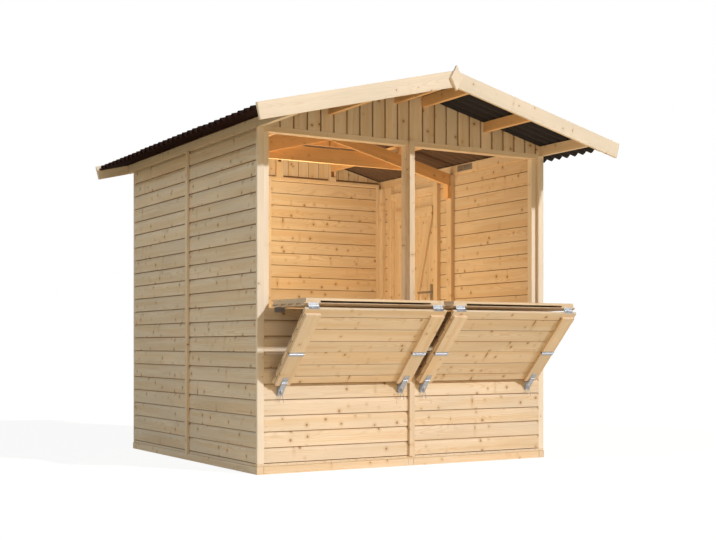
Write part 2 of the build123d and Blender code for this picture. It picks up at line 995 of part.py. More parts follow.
write("door_frame", door_frame())
write("door_boards", door_boards())
write("door_ledges", door_ledges())
write("door_brace", door_brace())
write("door_hinge_straps", door_hinge_straps())
write("door_hinge_plates", door_hinge_plates())
write("door_handle", door_handle())

write("sill_hinge_plates", sill_hinge_plates() + left(sill_hinge_plates()))
write("hasp_pegs", hasp_pegs() + left(hasp_pegs()))
counter_pieces = {
    "shelf_boards": shelf_boards,
    "shelf_top": shelf_top,
    "shelf_hinges": shelf_hinges,
    "brace_boards": brace_boards,
    "brace_battens": brace_battens,
    "brace_hinges": brace_hinges,
    "hasps": hasps,
}
for name, make in counter_pieces.items():
    write(f"right_{name}", make())
    write(f"left_{name}", left(make()))
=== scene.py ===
"""Wooden market stall: boards, timbers, roof sheets and ironwork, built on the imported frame."""

import math
import random
from functools import partial

import bmesh
import bpy
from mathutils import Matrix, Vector


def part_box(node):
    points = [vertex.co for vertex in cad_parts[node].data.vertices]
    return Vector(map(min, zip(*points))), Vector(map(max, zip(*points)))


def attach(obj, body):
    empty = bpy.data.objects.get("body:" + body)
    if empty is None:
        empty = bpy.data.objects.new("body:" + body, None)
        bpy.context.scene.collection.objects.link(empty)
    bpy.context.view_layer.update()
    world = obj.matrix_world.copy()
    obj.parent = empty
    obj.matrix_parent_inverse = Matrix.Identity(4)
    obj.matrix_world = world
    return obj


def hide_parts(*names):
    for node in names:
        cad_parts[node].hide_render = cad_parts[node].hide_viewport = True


bl_info = {
    "name": "Market stall",
    "version": (1, 0, 0),
    "blender": (4, 5, 0),
    "location": "3D View > Sidebar > Stall",
    "description": "Builds the boards, timbers, roof and ironwork of a wooden market stall",
    "category": "Add Mesh",
}

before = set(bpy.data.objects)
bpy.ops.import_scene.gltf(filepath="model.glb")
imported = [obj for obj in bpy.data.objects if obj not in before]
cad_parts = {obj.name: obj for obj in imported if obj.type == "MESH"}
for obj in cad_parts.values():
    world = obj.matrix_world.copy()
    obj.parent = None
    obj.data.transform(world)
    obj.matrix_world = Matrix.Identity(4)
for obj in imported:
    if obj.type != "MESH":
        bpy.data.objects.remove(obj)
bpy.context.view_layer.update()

SIDES = ("left", "right")
BASE_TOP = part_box("left_wall_boards")[0].z
HALF_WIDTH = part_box("left_wall_boards")[0].x * -1
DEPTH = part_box("left_wall_boards")[1].y
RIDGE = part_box("front_gable_boards")[1].z
X, Y, Z = Vector((1, 0, 0)), Vector((0, 1, 0)), Vector((0, 0, 1))


# ---------------------------------------------------------------- sizes and colours
class StallBoards(bpy.types.PropertyGroup):
    """Sizes of the boards and timbers."""

    cover: bpy.props.FloatProperty(
        name="Board cover", description="Width that one wall board covers",
        default=0.088, min=0.04, max=0.2, unit="LENGTH")
    recess_depth: bpy.props.FloatProperty(
        name="Recess depth", description="How far a board's top edge lies behind its face",
        default=0.0095, min=0.0, max=0.01, unit="LENGTH")
    recess_height: bpy.props.FloatProperty(
        name="Recess height", description="Height of the bevel under each joint",
        default=0.020, min=0.002, max=0.04, unit="LENGTH")
    foot_gap: bpy.props.FloatProperty(
        name="Foot gap", description="Height of the open joint under a wall's lowest board",
        default=0.0045, min=0.0, max=0.01, unit="LENGTH")
    foot_depth: bpy.props.FloatProperty(
        name="Foot gap depth", description="Depth of the open joint under a wall's lowest board",
        default=0.0090, min=0.0, max=0.02, unit="LENGTH")
    gap: bpy.props.FloatProperty(
        name="Groove height", description="Height of the open groove under each board",
        default=0.0022, min=0.0, max=0.01, unit="LENGTH")
    lap: bpy.props.FloatProperty(
        name="Lap", description="How far a board reaches up behind the next",
        default=0.010, min=0.0, max=0.02, unit="LENGTH")
    groove_width: bpy.props.FloatProperty(
        name="Groove width", description="Width of the open joint on the inner face",
        default=0.0042, min=0.0, max=0.006, unit="LENGTH")
    groove_depth: bpy.props.FloatProperty(
        name="Groove depth", description="Depth of the open joint on the inner face",
        default=0.006, min=0.0, max=0.01, unit="LENGTH")
    edge_rounding: bpy.props.FloatProperty(
        name="Edge rounding", description="Rounding of the planed edges",
        default=0.0015, min=0.0, max=0.005, unit="LENGTH")
    sway: bpy.props.FloatProperty(
        name="Sway", description="How far a board may lie back from the face",
        default=0.0006, min=0.0, max=0.002, unit="LENGTH")
    roof_pitch: bpy.props.FloatProperty(
        name="Roof pitch", description="Slope of the roof",
        default=math.radians(13.9), min=0.0, max=1.0, subtype="ANGLE")


class StallColours(bpy.types.PropertyGroup):
    """Colours of the finishes."""

    pale_wood: bpy.props.FloatVectorProperty(
        name="Pale wood", description="Earlywood of the spruce",
        default=(0.83, 0.65, 0.475), size=3, min=0.0, max=1.0, subtype="COLOR")
    warm_wood: bpy.props.FloatVectorProperty(
        name="Warm wood", description="Heartwood streaks of the spruce",
        default=(0.79, 0.57, 0.365), size=3, min=0.0, max=1.0, subtype="COLOR")
    # Painted light: a warmer, redder copy of the spruce for the truss and the middle and ridge
    # purlins, standing in for the warm bounced light under the roof.
    painted_roof_light_wood: bpy.props.FloatVectorProperty(
        name="Wood in painted roof light", description="Truss timber in painted warm roof light",
        default=(0.95, 0.56, 0.26), size=3, min=0.0, max=1.0, subtype="COLOR")
    trim_wood: bpy.props.FloatVectorProperty(
        name="Trim wood", description="Paler timber of the trims, posts and bargeboards",
        default=(0.90, 0.735, 0.57), size=3, min=0.0, max=1.0, subtype="COLOR")
    late_wood: bpy.props.FloatVectorProperty(
        name="Latewood", description="Dark lines of the year rings",
        default=(0.62, 0.38, 0.19), size=3, min=0.0, max=1.0, subtype="COLOR")
    knots: bpy.props.FloatVectorProperty(
        name="Knots", description="Colour of the knots",
        default=(0.27, 0.125, 0.052), size=3, min=0.0, max=1.0, subtype="COLOR")
    bitumen: bpy.props.FloatVectorProperty(
        name="Roof sheet", description="Colour of the bitumen roof sheets",
        default=(0.020, 0.0072, 0.0050), size=3, min=0.0, max=1.0, subtype="COLOR")
    # Painted light: a lighter colour for the sheets' underside over the stall, standing in for the
    # light from below inside.
    bitumen_painted_underlight: bpy.props.FloatVectorProperty(
        name="Roof sheet below, painted light", description="Colour of the sheets' underside over the stall",
        default=(0.155, 0.096, 0.066), size=3, min=0.0, max=1.0, subtype="COLOR")
    # Painted light: a greyer colour for the sheets' underside outside the walls, standing in for
    # the light under the eaves.
    bitumen_eaves_painted_light: bpy.props.FloatVectorProperty(
        name="Roof sheet at the eaves, painted light", description="Colour of the underside outside the walls",
        default=(0.036, 0.030, 0.029), size=3, min=0.0, max=1.0, subtype="COLOR")
    zinc: bpy.props.FloatVectorProperty(
        name="Zinc", description="Colour of the plated hinges and hasps",
        default=(0.42, 0.42, 0.43), size=3, min=0.0, max=1.0, subtype="COLOR")
    steel: bpy.props.FloatVectorProperty(
        name="Handle steel", description="Colour of the door handle",
        default=(0.42, 0.40, 0.37), size=3, min=0.0, max=1.0, subtype="COLOR")
    nail: bpy.props.FloatVectorProperty(
        name="Nail steel", description="Colour of the nails, screws and wire pins",
        default=(0.34, 0.31, 0.28), size=3, min=0.0, max=1.0, subtype="COLOR")


class StallStage(bpy.types.PropertyGroup):
    """Light and camera."""

    sun: bpy.props.FloatProperty(
        name="Key light", description="Strength of the key light", default=2.62, min=0.0,
        max=10.0)
    sun_size: bpy.props.FloatProperty(
        name="Key softness", description="Angle that the key light fills",
        default=math.radians(2.0), min=0.0, max=1.5, subtype="ANGLE")
    sun_tint: bpy.props.FloatVectorProperty(
        name="Key tint", description="Colour of the key light",
        default=(0.83, 0.915, 1.0), size=3, min=0.0, max=1.0, subtype="COLOR")
    sky: bpy.props.FloatProperty(
        name="Fill light", description="Strength of the light from all round",
        default=0.24, min=0.0, max=2.0)
    sky_tint: bpy.props.FloatVectorProperty(
        name="Fill tint", description="Colour of the light from all round",
        default=(1.0, 0.84, 0.53), size=3, min=0.0, max=1.0, subtype="COLOR")
    side: bpy.props.FloatProperty(
        name="Side light", description="Strength of the soft light on the left wall",
        default=0.86, min=0.0, max=5.0)
    side_tint: bpy.props.FloatVectorProperty(
        name="Side tint", description="Colour of the light on the left wall",
        default=(0.42, 0.71, 1.0), size=3, min=0.0, max=1.0, subtype="COLOR")
    inside: bpy.props.FloatProperty(
        name="Inside light", description="Power of the warm light that the floor sends up inside",
        default=10.0, min=0.0, max=200.0)
    behind: bpy.props.FloatProperty(
        name="Rear inside light", description="Power of the soft light behind the truss",
        default=15.5, min=0.0, max=200.0)
    inside_tint: bpy.props.FloatVectorProperty(
        name="Inside tint", description="Colour of the two lights inside",
        default=(1.0, 0.93, 0.64), size=3, min=0.0, max=1.0, subtype="COLOR")
    front: bpy.props.FloatProperty(
        name="Low front light",
        description="Power of the warm light from low in front, at the left",
        default=24.0, min=0.0, max=500.0)
    front_tint: bpy.props.FloatVectorProperty(
        name="Low front tint", description="Colour of the light from low in front",
        default=(1.0, 0.76, 0.46), size=3, min=0.0, max=1.0, subtype="COLOR")
    floor_tint: bpy.props.FloatVectorProperty(
        name="Floor tint", description="Colour of the light that the floor sends back",
        default=(0.93, 0.79, 0.55), size=3, min=0.0, max=1.0, subtype="COLOR")
    floor_share: bpy.props.FloatProperty(
        name="Floor white", description="Share of plain white in the floor as the camera sees it",
        default=0.66, min=0.0, max=1.0)
    floor_white: bpy.props.FloatProperty(
        name="Floor white strength", description="Strength of that white", default=1.34,
        min=0.0, max=3.0)
    floor_white_tint: bpy.props.FloatVectorProperty(
        name="Floor white tint", description="Colour of that white", default=(0.95, 0.97, 1.0),
        size=3, min=0.0, max=1.0, subtype="COLOR")
    lens: bpy.props.FloatProperty(
        name="Lens", description="Focal length of the camera", default=59.4745, min=10.0,
        max=300.0)
    camera_place: bpy.props.FloatVectorProperty(
        name="Camera place", description="Where the camera stands",
        default=(-3.83701, -5.84108, 0.71108), size=3, subtype="TRANSLATION")
    camera_turn: bpy.props.FloatProperty(
        name="Camera turn", description="Turn of the camera from straight ahead to the right",
        default=math.radians(30.74), subtype="ANGLE")
    camera_rise: bpy.props.FloatProperty(
        name="Camera shift", description="Upward shift of the camera's view", default=0.1047)


def boards():
    """The board sizes as they are set now."""
    return bpy.context.scene.stall_boards


def colours():
    """The colours as they are set now."""
    return bpy.context.scene.stall_colours


# ---------------------------------------------------------------- shader helpers
def node(tree, kind, inputs=None, **settings):
    """Adds a shader node, sets it, and links or fills its inputs."""
    made = tree.nodes.new(kind)
    for name, value in settings.items():
        setattr(made, name, value)
    for key, value in (inputs or {}).items():
        if isinstance(value, bpy.types.NodeSocket):
            tree.links.new(value, made.inputs[key])
        else:
            made.inputs[key].default_value = value
    return made


def maths(tree, operation, *values):
    """The result of a Math node."""
    made = node(tree, "ShaderNodeMath", dict(enumerate(values)), operation=operation)
    return made.outputs[0]


def sums(tree):
    """Functions that add, subtract and multiply two values."""
    return (partial(maths, tree, operation) for operation in ("ADD", "SUBTRACT", "MULTIPLY"))


def span(tree, value, low, high, to_low=0.0, to_high=1.0):
    """Smooth change from to_low to to_high as value goes from low to high."""
    made = node(tree, "ShaderNodeMapRange", {"Value": value, "From Min": low, "From Max": high,
                "To Min": to_low, "To Max": to_high}, interpolation_type="SMOOTHSTEP")
    return made.outputs["Result"]


def noise(tree, vector, scale, detail=2.0, roughness=0.5):
    """The value of a Noise node."""
    made = node(tree, "ShaderNodeTexNoise", {"Vector": vector, "Scale": scale, "Detail": detail,
                "Roughness": roughness})
    return made.outputs[0]


def blend_colour(tree, share, first, second):
    """The first colour, with a share of the second mixed in."""
    made = node(tree, "ShaderNodeMix", {0: share, 6: first, 7: second}, data_type="RGBA")
    return made.outputs[2]


def stretched(tree, vector, scale):
    """A vector or colour times a scale for each of its three values."""
    made = node(tree, "ShaderNodeVectorMath", {0: vector, 1: scale}, operation="MULTIPLY")
    return made.outputs[0]


def scaled(tree, vector, scale):
    """A vector or colour times one value."""
    made = node(tree, "ShaderNodeVectorMath", {0: vector, 3: scale}, operation="SCALE")
    return made.outputs[0]


def new_group(name, inputs, outputs):
    """An empty shader group with named sockets."""
    tree = bpy.data.node_groups.new(name, "ShaderNodeTree")
    for way, sockets in (("INPUT", inputs), ("OUTPUT", outputs)):
        for socket_name, kind, default in sockets:
            socket = tree.interface.new_socket(
                socket_name, in_out=way, socket_type="NodeSocket" + kind)
            if default is not None:
                socket.default_value = default
    start = tree.nodes.new("NodeGroupInput")
    end = tree.nodes.new("NodeGroupOutput")
    return tree, start.outputs, end.inputs


def opaque(colour):
    """A colour with full alpha."""
    return (*colour, 1.0)


def spruce_group():
    """Year rings, fibres, streaks and knots of a planed spruce board."""
    ring_turn = 1500.0  # radians of year rings to a metre from the pith
    pith_depth, pith_wander, pith_aside = 0.055, 0.085, 0.13  # where the pith lies, in metres
    knot_bend = 7.0  # radians by which the rings bend round a knot
    tree, given, result = new_group(
        "Spruce",
        [("Grain", "Vector", None), ("Tone", "Float", 0.5), ("End", "Float", 0.0),
         ("Pale", "Color", (1, 1, 1, 1)), ("Warm", "Color", (1, 1, 1, 1)),
         ("Late", "Color", (1, 1, 1, 1)), ("Knot", "Color", (0, 0, 0, 1)),
         ("Knots", "Float", 1.0), ("Joint", "Float", 0.0)],
        [("Colour", "Color", None), ("Roughness", "Float", None), ("Height", "Float", None)],
    )
    add, less, times = sums(tree)
    grain, tone, end = given["Grain"], given["Tone"], given["End"]
    axes = node(tree, "ShaderNodeSeparateXYZ", {0: grain}).outputs
    # Knots lie in a plane along and across the board and run through it.
    flat = node(tree, "ShaderNodeCombineXYZ", {0: axes[0], 1: axes[1], 2: 0.0}).outputs[0]
    ragged = span(tree, noise(tree, grain, 220.0, 2.0), 0.3, 0.7, -0.0012, 0.0012)

    def knots_of(vector, cells_per_metre, rarest, largest):
        """How far inside a knot a point lies, and the knot's own radius."""
        cell = node(tree, "ShaderNodeTexVoronoi", {"Vector": vector, "Scale": cells_per_metre},
                    voronoi_dimensions="2D", feature="F1")
        away = maths(tree, "DIVIDE", cell.outputs["Distance"], cells_per_metre)
        chance = node(tree, "ShaderNodeSeparateColor", {0: cell.outputs["Color"]}).outputs
        radius = times(span(tree, chance[0], rarest, 1.0, 0.0, largest), given["Knots"])
        return less(radius, add(away, ragged)), radius

    inside, radius = knots_of(flat, 8.5, 0.10, 0.0078)
    spikes, spike_radius = knots_of(stretched(tree, flat, (1.0, 0.26, 1.0)), 4.6, 0.35, 0.0062)
    inside = maths(tree, "MAXIMUM", inside, spikes)
    radius = maths(tree, "MAXIMUM", radius, spike_radius)
    knot = span(tree, inside, -0.0014, 0.0014)
    halo = times(span(tree, inside, -0.020, 0.0), span(tree, radius, 0.0005, 0.004))
    # Year rings round a pith that wanders along the board.
    slow = noise(tree, stretched(tree, grain, (1.1, 4.0, 4.0)), 1.0, 2.0)
    wander = times(less(slow, 0.5), pith_wander)
    across = add(add(axes[1], times(less(tone, 0.5), pith_aside)), wander)
    under = add(axes[2], add(wander, pith_depth))
    ring = maths(tree, "SQRT", add(times(across, across), times(under, under)))
    wave = maths(tree, "SINE", add(times(ring, ring_turn), times(halo, knot_bend)))
    late = span(tree, wave, 0.1, 1.0)
    fibre = noise(tree, stretched(tree, grain, (9.0, 420.0, 420.0)), 1.0, 3.0, 0.6)
    streak = noise(tree, stretched(tree, grain, (0.9, 26.0, 26.0)), 1.0, 3.0, 0.55)
    cloud = noise(tree, stretched(tree, grain, (2.2, 7.0, 7.0)), 1.0, 2.0)
    # Colour: warm streaks, then latewood in rings, round knots, in fibres and on sawn ends.
    warmth = add(span(tree, streak, 0.42, 0.66), span(tree, tone, 0.0, 1.0, -0.06, 0.12))
    warmth = node(tree, "ShaderNodeClamp", {0: warmth}).outputs[0]
    colour = blend_colour(tree, warmth, given["Pale"], given["Warm"])
    shares = (times(late, span(tree, cloud, 0.35, 0.7, 0.14, 0.40)), times(halo, 0.42),
              times(span(tree, fibre, 0.48, 0.75), 0.30),
              times(end, add(times(late, 0.25), 0.10)))
    for share in shares:
        colour = blend_colour(tree, share, colour, given["Late"])
    # The knots, darker at their core, then each board's own level and the painted shade in its
    # joints and recesses.
    core = span(tree, inside, 0.001, 0.005, 1.0, 1.5)
    colour = blend_colour(tree, times(knot, 0.8), colour, scaled(tree, given["Knot"], core))
    level = span(tree, maths(tree, "FRACT", times(tone, 7.31)), 0.0, 1.0, 0.95, 1.03)
    level = times(level, span(tree, cloud, 0.3, 0.7, 0.95, 1.04))
    colour = scaled(tree, colour, level)
    # Painted shade: joints, recess backs and shade fillers are blended toward a dark brown made
    # from the knot colour.
    shade = stretched(tree, given["Knot"], (0.75, 0.52, 0.42))
    colour = blend_colour(tree, times(given["Joint"], 0.9), colour, shade)
    tree.links.new(colour, result["Colour"])
    rough = less(span(tree, fibre, 0.3, 0.7, 0.56, 0.70), times(knot, 0.18))
    tree.links.new(rough, result["Roughness"])
    height = add(add(times(fibre, 0.6), times(late, 0.3)), times(knot, 0.8))
    tree.links.new(height, result["Height"])
    return tree


def weather_group():
    """Small blotches and scratches that break up a metal or bitumen surface."""
    tree, given, result = new_group(
        "Weathering",
        [("Scale", "Float", 60.0), ("Colour", "Color", (1, 1, 1, 1)), ("Spread", "Float", 0.2),
         ("Rough low", "Float", 0.3), ("Rough high", "Float", 0.5)],
        [("Colour", "Color", None), ("Roughness", "Float", None), ("Height", "Float", None)],
    )
    add, less, times = sums(tree)
    place = node(tree, "ShaderNodeTexCoord").outputs["Object"]
    blotch = noise(tree, place, given["Scale"], 4.0, 0.65)
    fine = noise(tree, place, times(given["Scale"], 9.0), 2.0, 0.5)
    mixed = add(times(blotch, 0.7), times(fine, 0.3))
    shade = add(times(times(less(mixed, 0.5), given["Spread"]), 4.0), 1.0)
    tree.links.new(scaled(tree, given["Colour"], shade), result["Colour"])
    rough = node(tree, "ShaderNodeMapRange", {"Value": mixed, "From Min": 0.35, "From Max": 0.65,
                 "To Min": given["Rough low"], "To Max": given["Rough high"]}).outputs[0]
    tree.links.new(rough, result["Roughness"])
    tree.links.new(mixed, result["Height"])
    return tree


def surface(name, group, values, bump, metallic=0.0, specular=0.5):
    """A material whose colour, roughness and bump come from a group."""
    material = bpy.data.materials.new(name)
    material.use_nodes = True
    tree = material.node_tree
    shader = tree.nodes["Principled BSDF"]
    shader.inputs["Metallic"].default_value = metallic
    shader.inputs["Specular IOR Level"].default_value = specular
    made = node(tree, "ShaderNodeGroup", node_tree=group)
    for key, value in values.items():
        if isinstance(value, str):
            found = node(tree, "ShaderNodeAttribute", attribute_name=value)
            tree.links.new(found.outputs["Vector" if key == "Grain" else "Fac"], made.inputs[key])
        else:
            made.inputs[key].default_value = value
    tree.links.new(made.outputs["Colour"], shader.inputs["Base Color"])
    tree.links.new(made.outputs["Roughness"], shader.inputs["Roughness"])
    relief = node(tree, "ShaderNodeBump", {"Height": made.outputs["Height"], "Strength": 1.0,
                  "Distance": bump})
    tree.links.new(relief.outputs[0], shader.inputs["Normal"])
    return material


finishes = {}


def make_finishes():
    """Fills finishes with a material for each timber, metal and sheet."""
    paint = colours()
    spruce = spruce_group()
    weather = weather_group()
    wood = {"Grain": "grain", "Tone": "tone", "End": "end_grain", "Pale": opaque(paint.pale_wood),
            "Warm": opaque(paint.warm_wood), "Late": opaque(paint.late_wood),
            "Knot": opaque(paint.knots), "Joint": "joint"}
    # A copy of the spruce in the painted warm light of the roof space.
    red = {"Pale": opaque(paint.painted_roof_light_wood), "Warm": opaque([0.9 * c for c in paint.painted_roof_light_wood])}
    trim = {"Pale": opaque(paint.trim_wood), "Warm": opaque([0.95 * c for c in paint.trim_wood]),
            "Late": opaque([0.5 * (a + b) for a, b in zip(paint.trim_wood, paint.late_wood)])}

    def planed(finish, name, knots, changed=None):
        values = {**wood, **(changed or {}), "Knots": knots}
        finishes[finish] = surface(name, spruce, values, 0.0002, specular=0.15)

    def worn(finish, name, colour, scale, spread, rough, bump, **shine):
        values = {"Scale": scale, "Colour": opaque(colour), "Spread": spread,
                  "Rough low": rough[0], "Rough high": rough[1]}
        finishes[finish] = surface(name, weather, values, bump, **shine)

    planed("spruce", "Planed spruce", 1.0)
    planed("clear spruce", "Planed spruce with few knots", 0.62)
    planed("spruce in painted roof light", "Planed red spruce", 0.62, red)
    planed("trim spruce", "Planed pale spruce", 0.55, trim)
    worn("bitumen", "Bitumen sheet", paint.bitumen, 130.0, 0.7, (0.62, 0.85), 0.0006, specular=0.05)
    # The two underside finishes are lit copies of the sheet, as painted light.
    worn("bitumen underside painted light", "Bitumen sheet, underside with painted light", paint.bitumen_painted_underlight, 130.0, 0.4, (0.7, 0.9),
         0.0004, specular=0.1)
    worn("bitumen eaves painted light", "Bitumen sheet, eaves with painted light", paint.bitumen_eaves_painted_light, 130.0, 0.4, (0.7, 0.9),
         0.0004, specular=0.1)
    worn("zinc", "Zinc plate", paint.zinc, 90.0, 0.22, (0.32, 0.52), 0.0001, metallic=1.0)
    worn("steel", "Satin steel", paint.steel, 60.0, 0.12, (0.30, 0.42), 0.00005, metallic=1.0)
    worn("nail", "Nail steel", paint.nail, 300.0, 0.3, (0.4, 0.6), 0.0001, metallic=0.8)


# ---------------------------------------------------------------- meshes
# Fixed lengths, in metres.
WELD = 1e-5  # points nearer than this are one
SHORTEST_EDGE = 0.002  # shorter edges don't show which way a solid runs
SLIVER = 0.001  # a narrower strip gets no board
FOOT_REACH = 0.012  # a board that starts this near the wall's foot is its lowest
FOOT_EDGE = 0.0018  # height of the lowest board's edge that is cut straight
FACE_REACH = 0.002  # depth of a board's face
REAR_DEPTH = 0.0105  # depth from which a rear rebate is cut
END_PLAY = 0.0006  # largest play at a board's ends
JOINT_NEAR, RECESS_NEAR = 0.0004, 0.0001  # how near a depth is to count as a joint's or a recess's
BEND_STEP = 0.35  # length of a board between its bends


class Piece:
    """Gathers solids, each with its own grain, and turns them into one object."""

    end_grain_from = 0.8  # a face that looks this much along the grain is end grain
    sharp_from = math.radians(40)

    def __init__(self, name):
        self.name = name
        self.chance = random.Random(name)
        self.points, self.faces, self.smooth = [], [], []
        self.grain, self.tone, self.ends, self.joint = [], [], [], []

    def add(self, points, faces, along=None, across=None, smooth=False, joint=None):
        """Adds one solid. along and across are the way of its grain and its width.

        joint is how much painted shade each point gets: 1 for a point deep in a joint, and 0 for
        the rest.
        """
        self.joint += joint or [0.0] * len(points)
        start = len(self.points)
        centre = sum(points, Vector()) / len(points)
        along = along or Vector((0, 0, 1))
        across = across or along.orthogonal().normalized()
        through = along.cross(across)
        shift = self.chance.uniform(0, 60)
        tone = self.chance.random()
        for point in points:
            away = point - centre
            self.points.append(point)
            self.grain.append((away.dot(along) + shift, away.dot(across), away.dot(through)))
            self.tone.append(tone)
        for face in faces:
            a, b, c = (points[i] for i in face[:3])
            normal = (b - a).cross(c - b)
            end = normal.length > 0 and abs(normal.normalized().dot(along)) > self.end_grain_from
            self.ends.append(float(end))
            self.faces.append([start + i for i in face])
            self.smooth.append(smooth)

    def make(self, body, finish, replaced=()):
        """Makes the object, finished, riding on a body, in place of CAD nodes."""
        mesh = bpy.data.meshes.new(self.name)
        mesh.from_pydata([tuple(p) for p in self.points], [], self.faces)
        mesh.polygons.foreach_set("use_smooth", self.smooth)
        grain = mesh.attributes.new("grain", "FLOAT_VECTOR", "POINT")
        grain.data.foreach_set("vector", [value for row in self.grain for value in row])
        # The joint attribute carries the painted shade in joints and recesses.
        for name, place, values in (("tone", "POINT", self.tone), ("joint", "POINT", self.joint),
                                    ("end_grain", "FACE", self.ends)):
            mesh.attributes.new(name, "FLOAT", place).data.foreach_set("value", values)
        mesh.update()
        made = bmesh.new()
        made.from_mesh(mesh)
        bmesh.ops.recalc_face_normals(made, faces=made.faces)
        made.to_mesh(mesh)
        made.free()
        if any(self.smooth):
            mesh.set_sharp_from_angle(angle=self.sharp_from)
        mesh.materials.append(finishes[finish])
        piece = bpy.data.objects.new(self.name, mesh)
        bpy.context.scene.collection.objects.link(piece)
        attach(piece, body)
        if replaced:
            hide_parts(*replaced)
        return piece


def solids_of(name):
    """The separate solids of a CAD node, as points and faces, with flat faces made whole."""
    made = bmesh.new()
    made.from_mesh(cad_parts[name].data)
    bmesh.ops.remove_doubles(made, verts=made.verts, dist=WELD)
    bmesh.ops.dissolve_limit(made, angle_limit=math.radians(1), verts=made.verts, edges=made.edges)
    seen, found = set(), []
    for first in made.verts:
        if first in seen:
            continue
        group, queue = [], [first]
        seen.add(first)
        while queue:
            vertex = queue.pop()
            group.append(vertex)
            for edge in vertex.link_edges:
                other = edge.other_vert(vertex)
                if other not in seen:
                    seen.add(other)
                    queue.append(other)
        place = {vertex: number for number, vertex in enumerate(group)}
        faces = {face for vertex in group for face in vertex.link_faces}
        faces = sorted(faces, key=lambda face: face.index)
        found.append(([vertex.co.copy() for vertex in group],
                      [[place[vertex] for vertex in face.verts] for face in faces]))
    made.free()
    return found


def points_box(points):
    """Lowest and highest corner of some points."""
    return tuple(Vector(pick(point[i] for point in points) for i in range(3))
                 for pick in (min, max))


def edges_of(points, faces):
    """Every face's edges, as vectors."""
    return [points[b] - points[a] for face in faces for a, b in zip(face, face[1:] + face[:1])]


def highest_first(solid):
    """Sorts solids by their highest point, the highest first."""
    return -max(point.z for point in solid[0])


def nearest_way(points, faces, hint):
    """The direction among a solid's edges that comes nearest to the hint."""
    ways = [edge.normalized() for edge in edges_of(points, faces) if edge.length > SHORTEST_EDGE]
    best = max(ways, key=lambda way: abs(way.dot(hint)))
    return best if best.dot(hint) > 0 else -best


def rounded(points, faces, radius):
    """The solid with every edge rounded."""
    made = bmesh.new()
    corners = [made.verts.new(point) for point in points]
    for face in faces:
        made.faces.new([corners[i] for i in face])
    bmesh.ops.recalc_face_normals(made, faces=made.faces)
    bmesh.ops.bevel(made, geom=list(made.edges), offset=radius, segments=2, profile=0.6,
                    affect="EDGES", clamp_overlap=True)
    made.verts.index_update()
    result = ([vertex.co.copy() for vertex in made.verts],
              [[vertex.index for vertex in face.verts] for face in made.faces])
    made.free()
    return result


def add_timber(piece, points, faces, along=None):
    """Adds a planed timber, its grain along its longest edge."""
    along = along or max(edges_of(points, faces), key=lambda edge: edge.length).normalized()
    spans = [edge for edge in edges_of(points, faces) if abs(edge.normalized().dot(along)) < 0.5]
    across = max(spans, key=lambda edge: edge.length).normalized()
    across = (across - along * across.dot(along)).normalized()
    piece.add(*rounded(points, faces, boards().edge_rounding), along, across)


def box_solid(low, high):
    """Points and faces of a square-cut block."""
    points = [Vector((x, y, z)) for x in (low[0], high[0]) for y in (low[1], high[1])
              for z in (low[2], high[2])]
    faces = [[0, 1, 3, 2], [4, 6, 7, 5], [0, 4, 5, 1], [2, 3, 7, 6], [0, 2, 6, 4], [1, 5, 7, 3]]
    return points, faces


def skin(rings, count):
    """Faces between rings of count points each, one ring after another, and over both ends."""
    sides = [[ring * count + i, ring * count + (i + 1) % count,
              (ring + 1) * count + (i + 1) % count, (ring + 1) * count + i]
             for ring in range(rings - 1) for i in range(count)]
    return sides + [list(range(count)), list(range((rings - 1) * count, rings * count))]


def prism_solid(outline, y0, y1):
    """Points and faces of an outline in X and Z, run along Y."""
    return [Vector((x, y, z)) for y in (y0, y1) for x, z in outline], skin(2, len(outline))


def clipped(outline, side, limit):
    """The part of an outline whose first value is above (side 1) or below (side -1) the limit."""
    kept = []
    for (s0, d0), (s1, d1) in zip(outline, outline[1:] + outline[:1]):
        in0, in1 = side * (s0 - limit) >= 0, side * (s1 - limit) >= 0
        if in0:
            kept.append((s0, d0))
        if in0 != in1:
            share = (limit - s0) / (s1 - s0)
            kept.append((limit, d0 + share * (d1 - d0)))
    return kept


def board_outline(thickness, cover, foot=False):
    """Section of a wall board: position up the wall, and depth behind the face.

    The face slopes back below the board above, with an open groove between them.
    A lap behind covers the joint; the foot board of a wall has none at its bottom.
    """
    size = boards()
    deep, high, gap = size.recess_depth, size.recess_height, size.gap
    back, top = thickness - size.groove_depth, cover + size.lap - size.groove_width
    edge = size.edge_rounding
    cove, steps = 1.2, 4
    curve = [(cover - gap - high * (1 - t), deep * t ** cove)
             for t in (step / steps for step in range(steps + 1))]
    low = [(0.0, thickness)] if foot else [(size.lap, thickness), (size.lap, back), (0.0, back)]
    return [(0.0, edge), (0.3 * edge, 0.3 * edge), (edge, 0.0)] + curve + [
        (cover - gap, back), (top, back), (top, thickness)] + low


def plain_outline(width, thickness, chamfer):
    """Section of a board with a small chamfer on its four edges."""
    return [(0.0, chamfer), (chamfer, 0.0), (width - chamfer, 0.0), (width, chamfer),
            (width, thickness - chamfer), (width - chamfer, thickness),
            (chamfer, thickness), (0.0, thickness - chamfer)]


def foot_section(section, start, foot, open_joint):
    """The lowest board's section, cut straight at the foot, over an open joint or not."""
    section = [(foot if s - start < FOOT_EDGE else s, d) for s, d in section]
    if not open_joint:
        return section
    deep, top = boards().foot_depth, foot + boards().foot_gap
    return [(foot, deep), (top, deep)] + [(max(s, top), d) if d < FACE_REACH else (s, d)
                                          for s, d in section]


def joint_shade_mark(depth, open_back):
    """Painted shade for a point: 1 deep in a joint, 0.5 at the back of the recess, and 0 elsewhere.
    """
    size = boards()
    if min(abs(depth - open_back), abs(depth - size.foot_depth)) < JOINT_NEAR:
        return 1.0
    return 0.5 if abs(depth - size.recess_depth) < RECESS_NEAR else 0.0


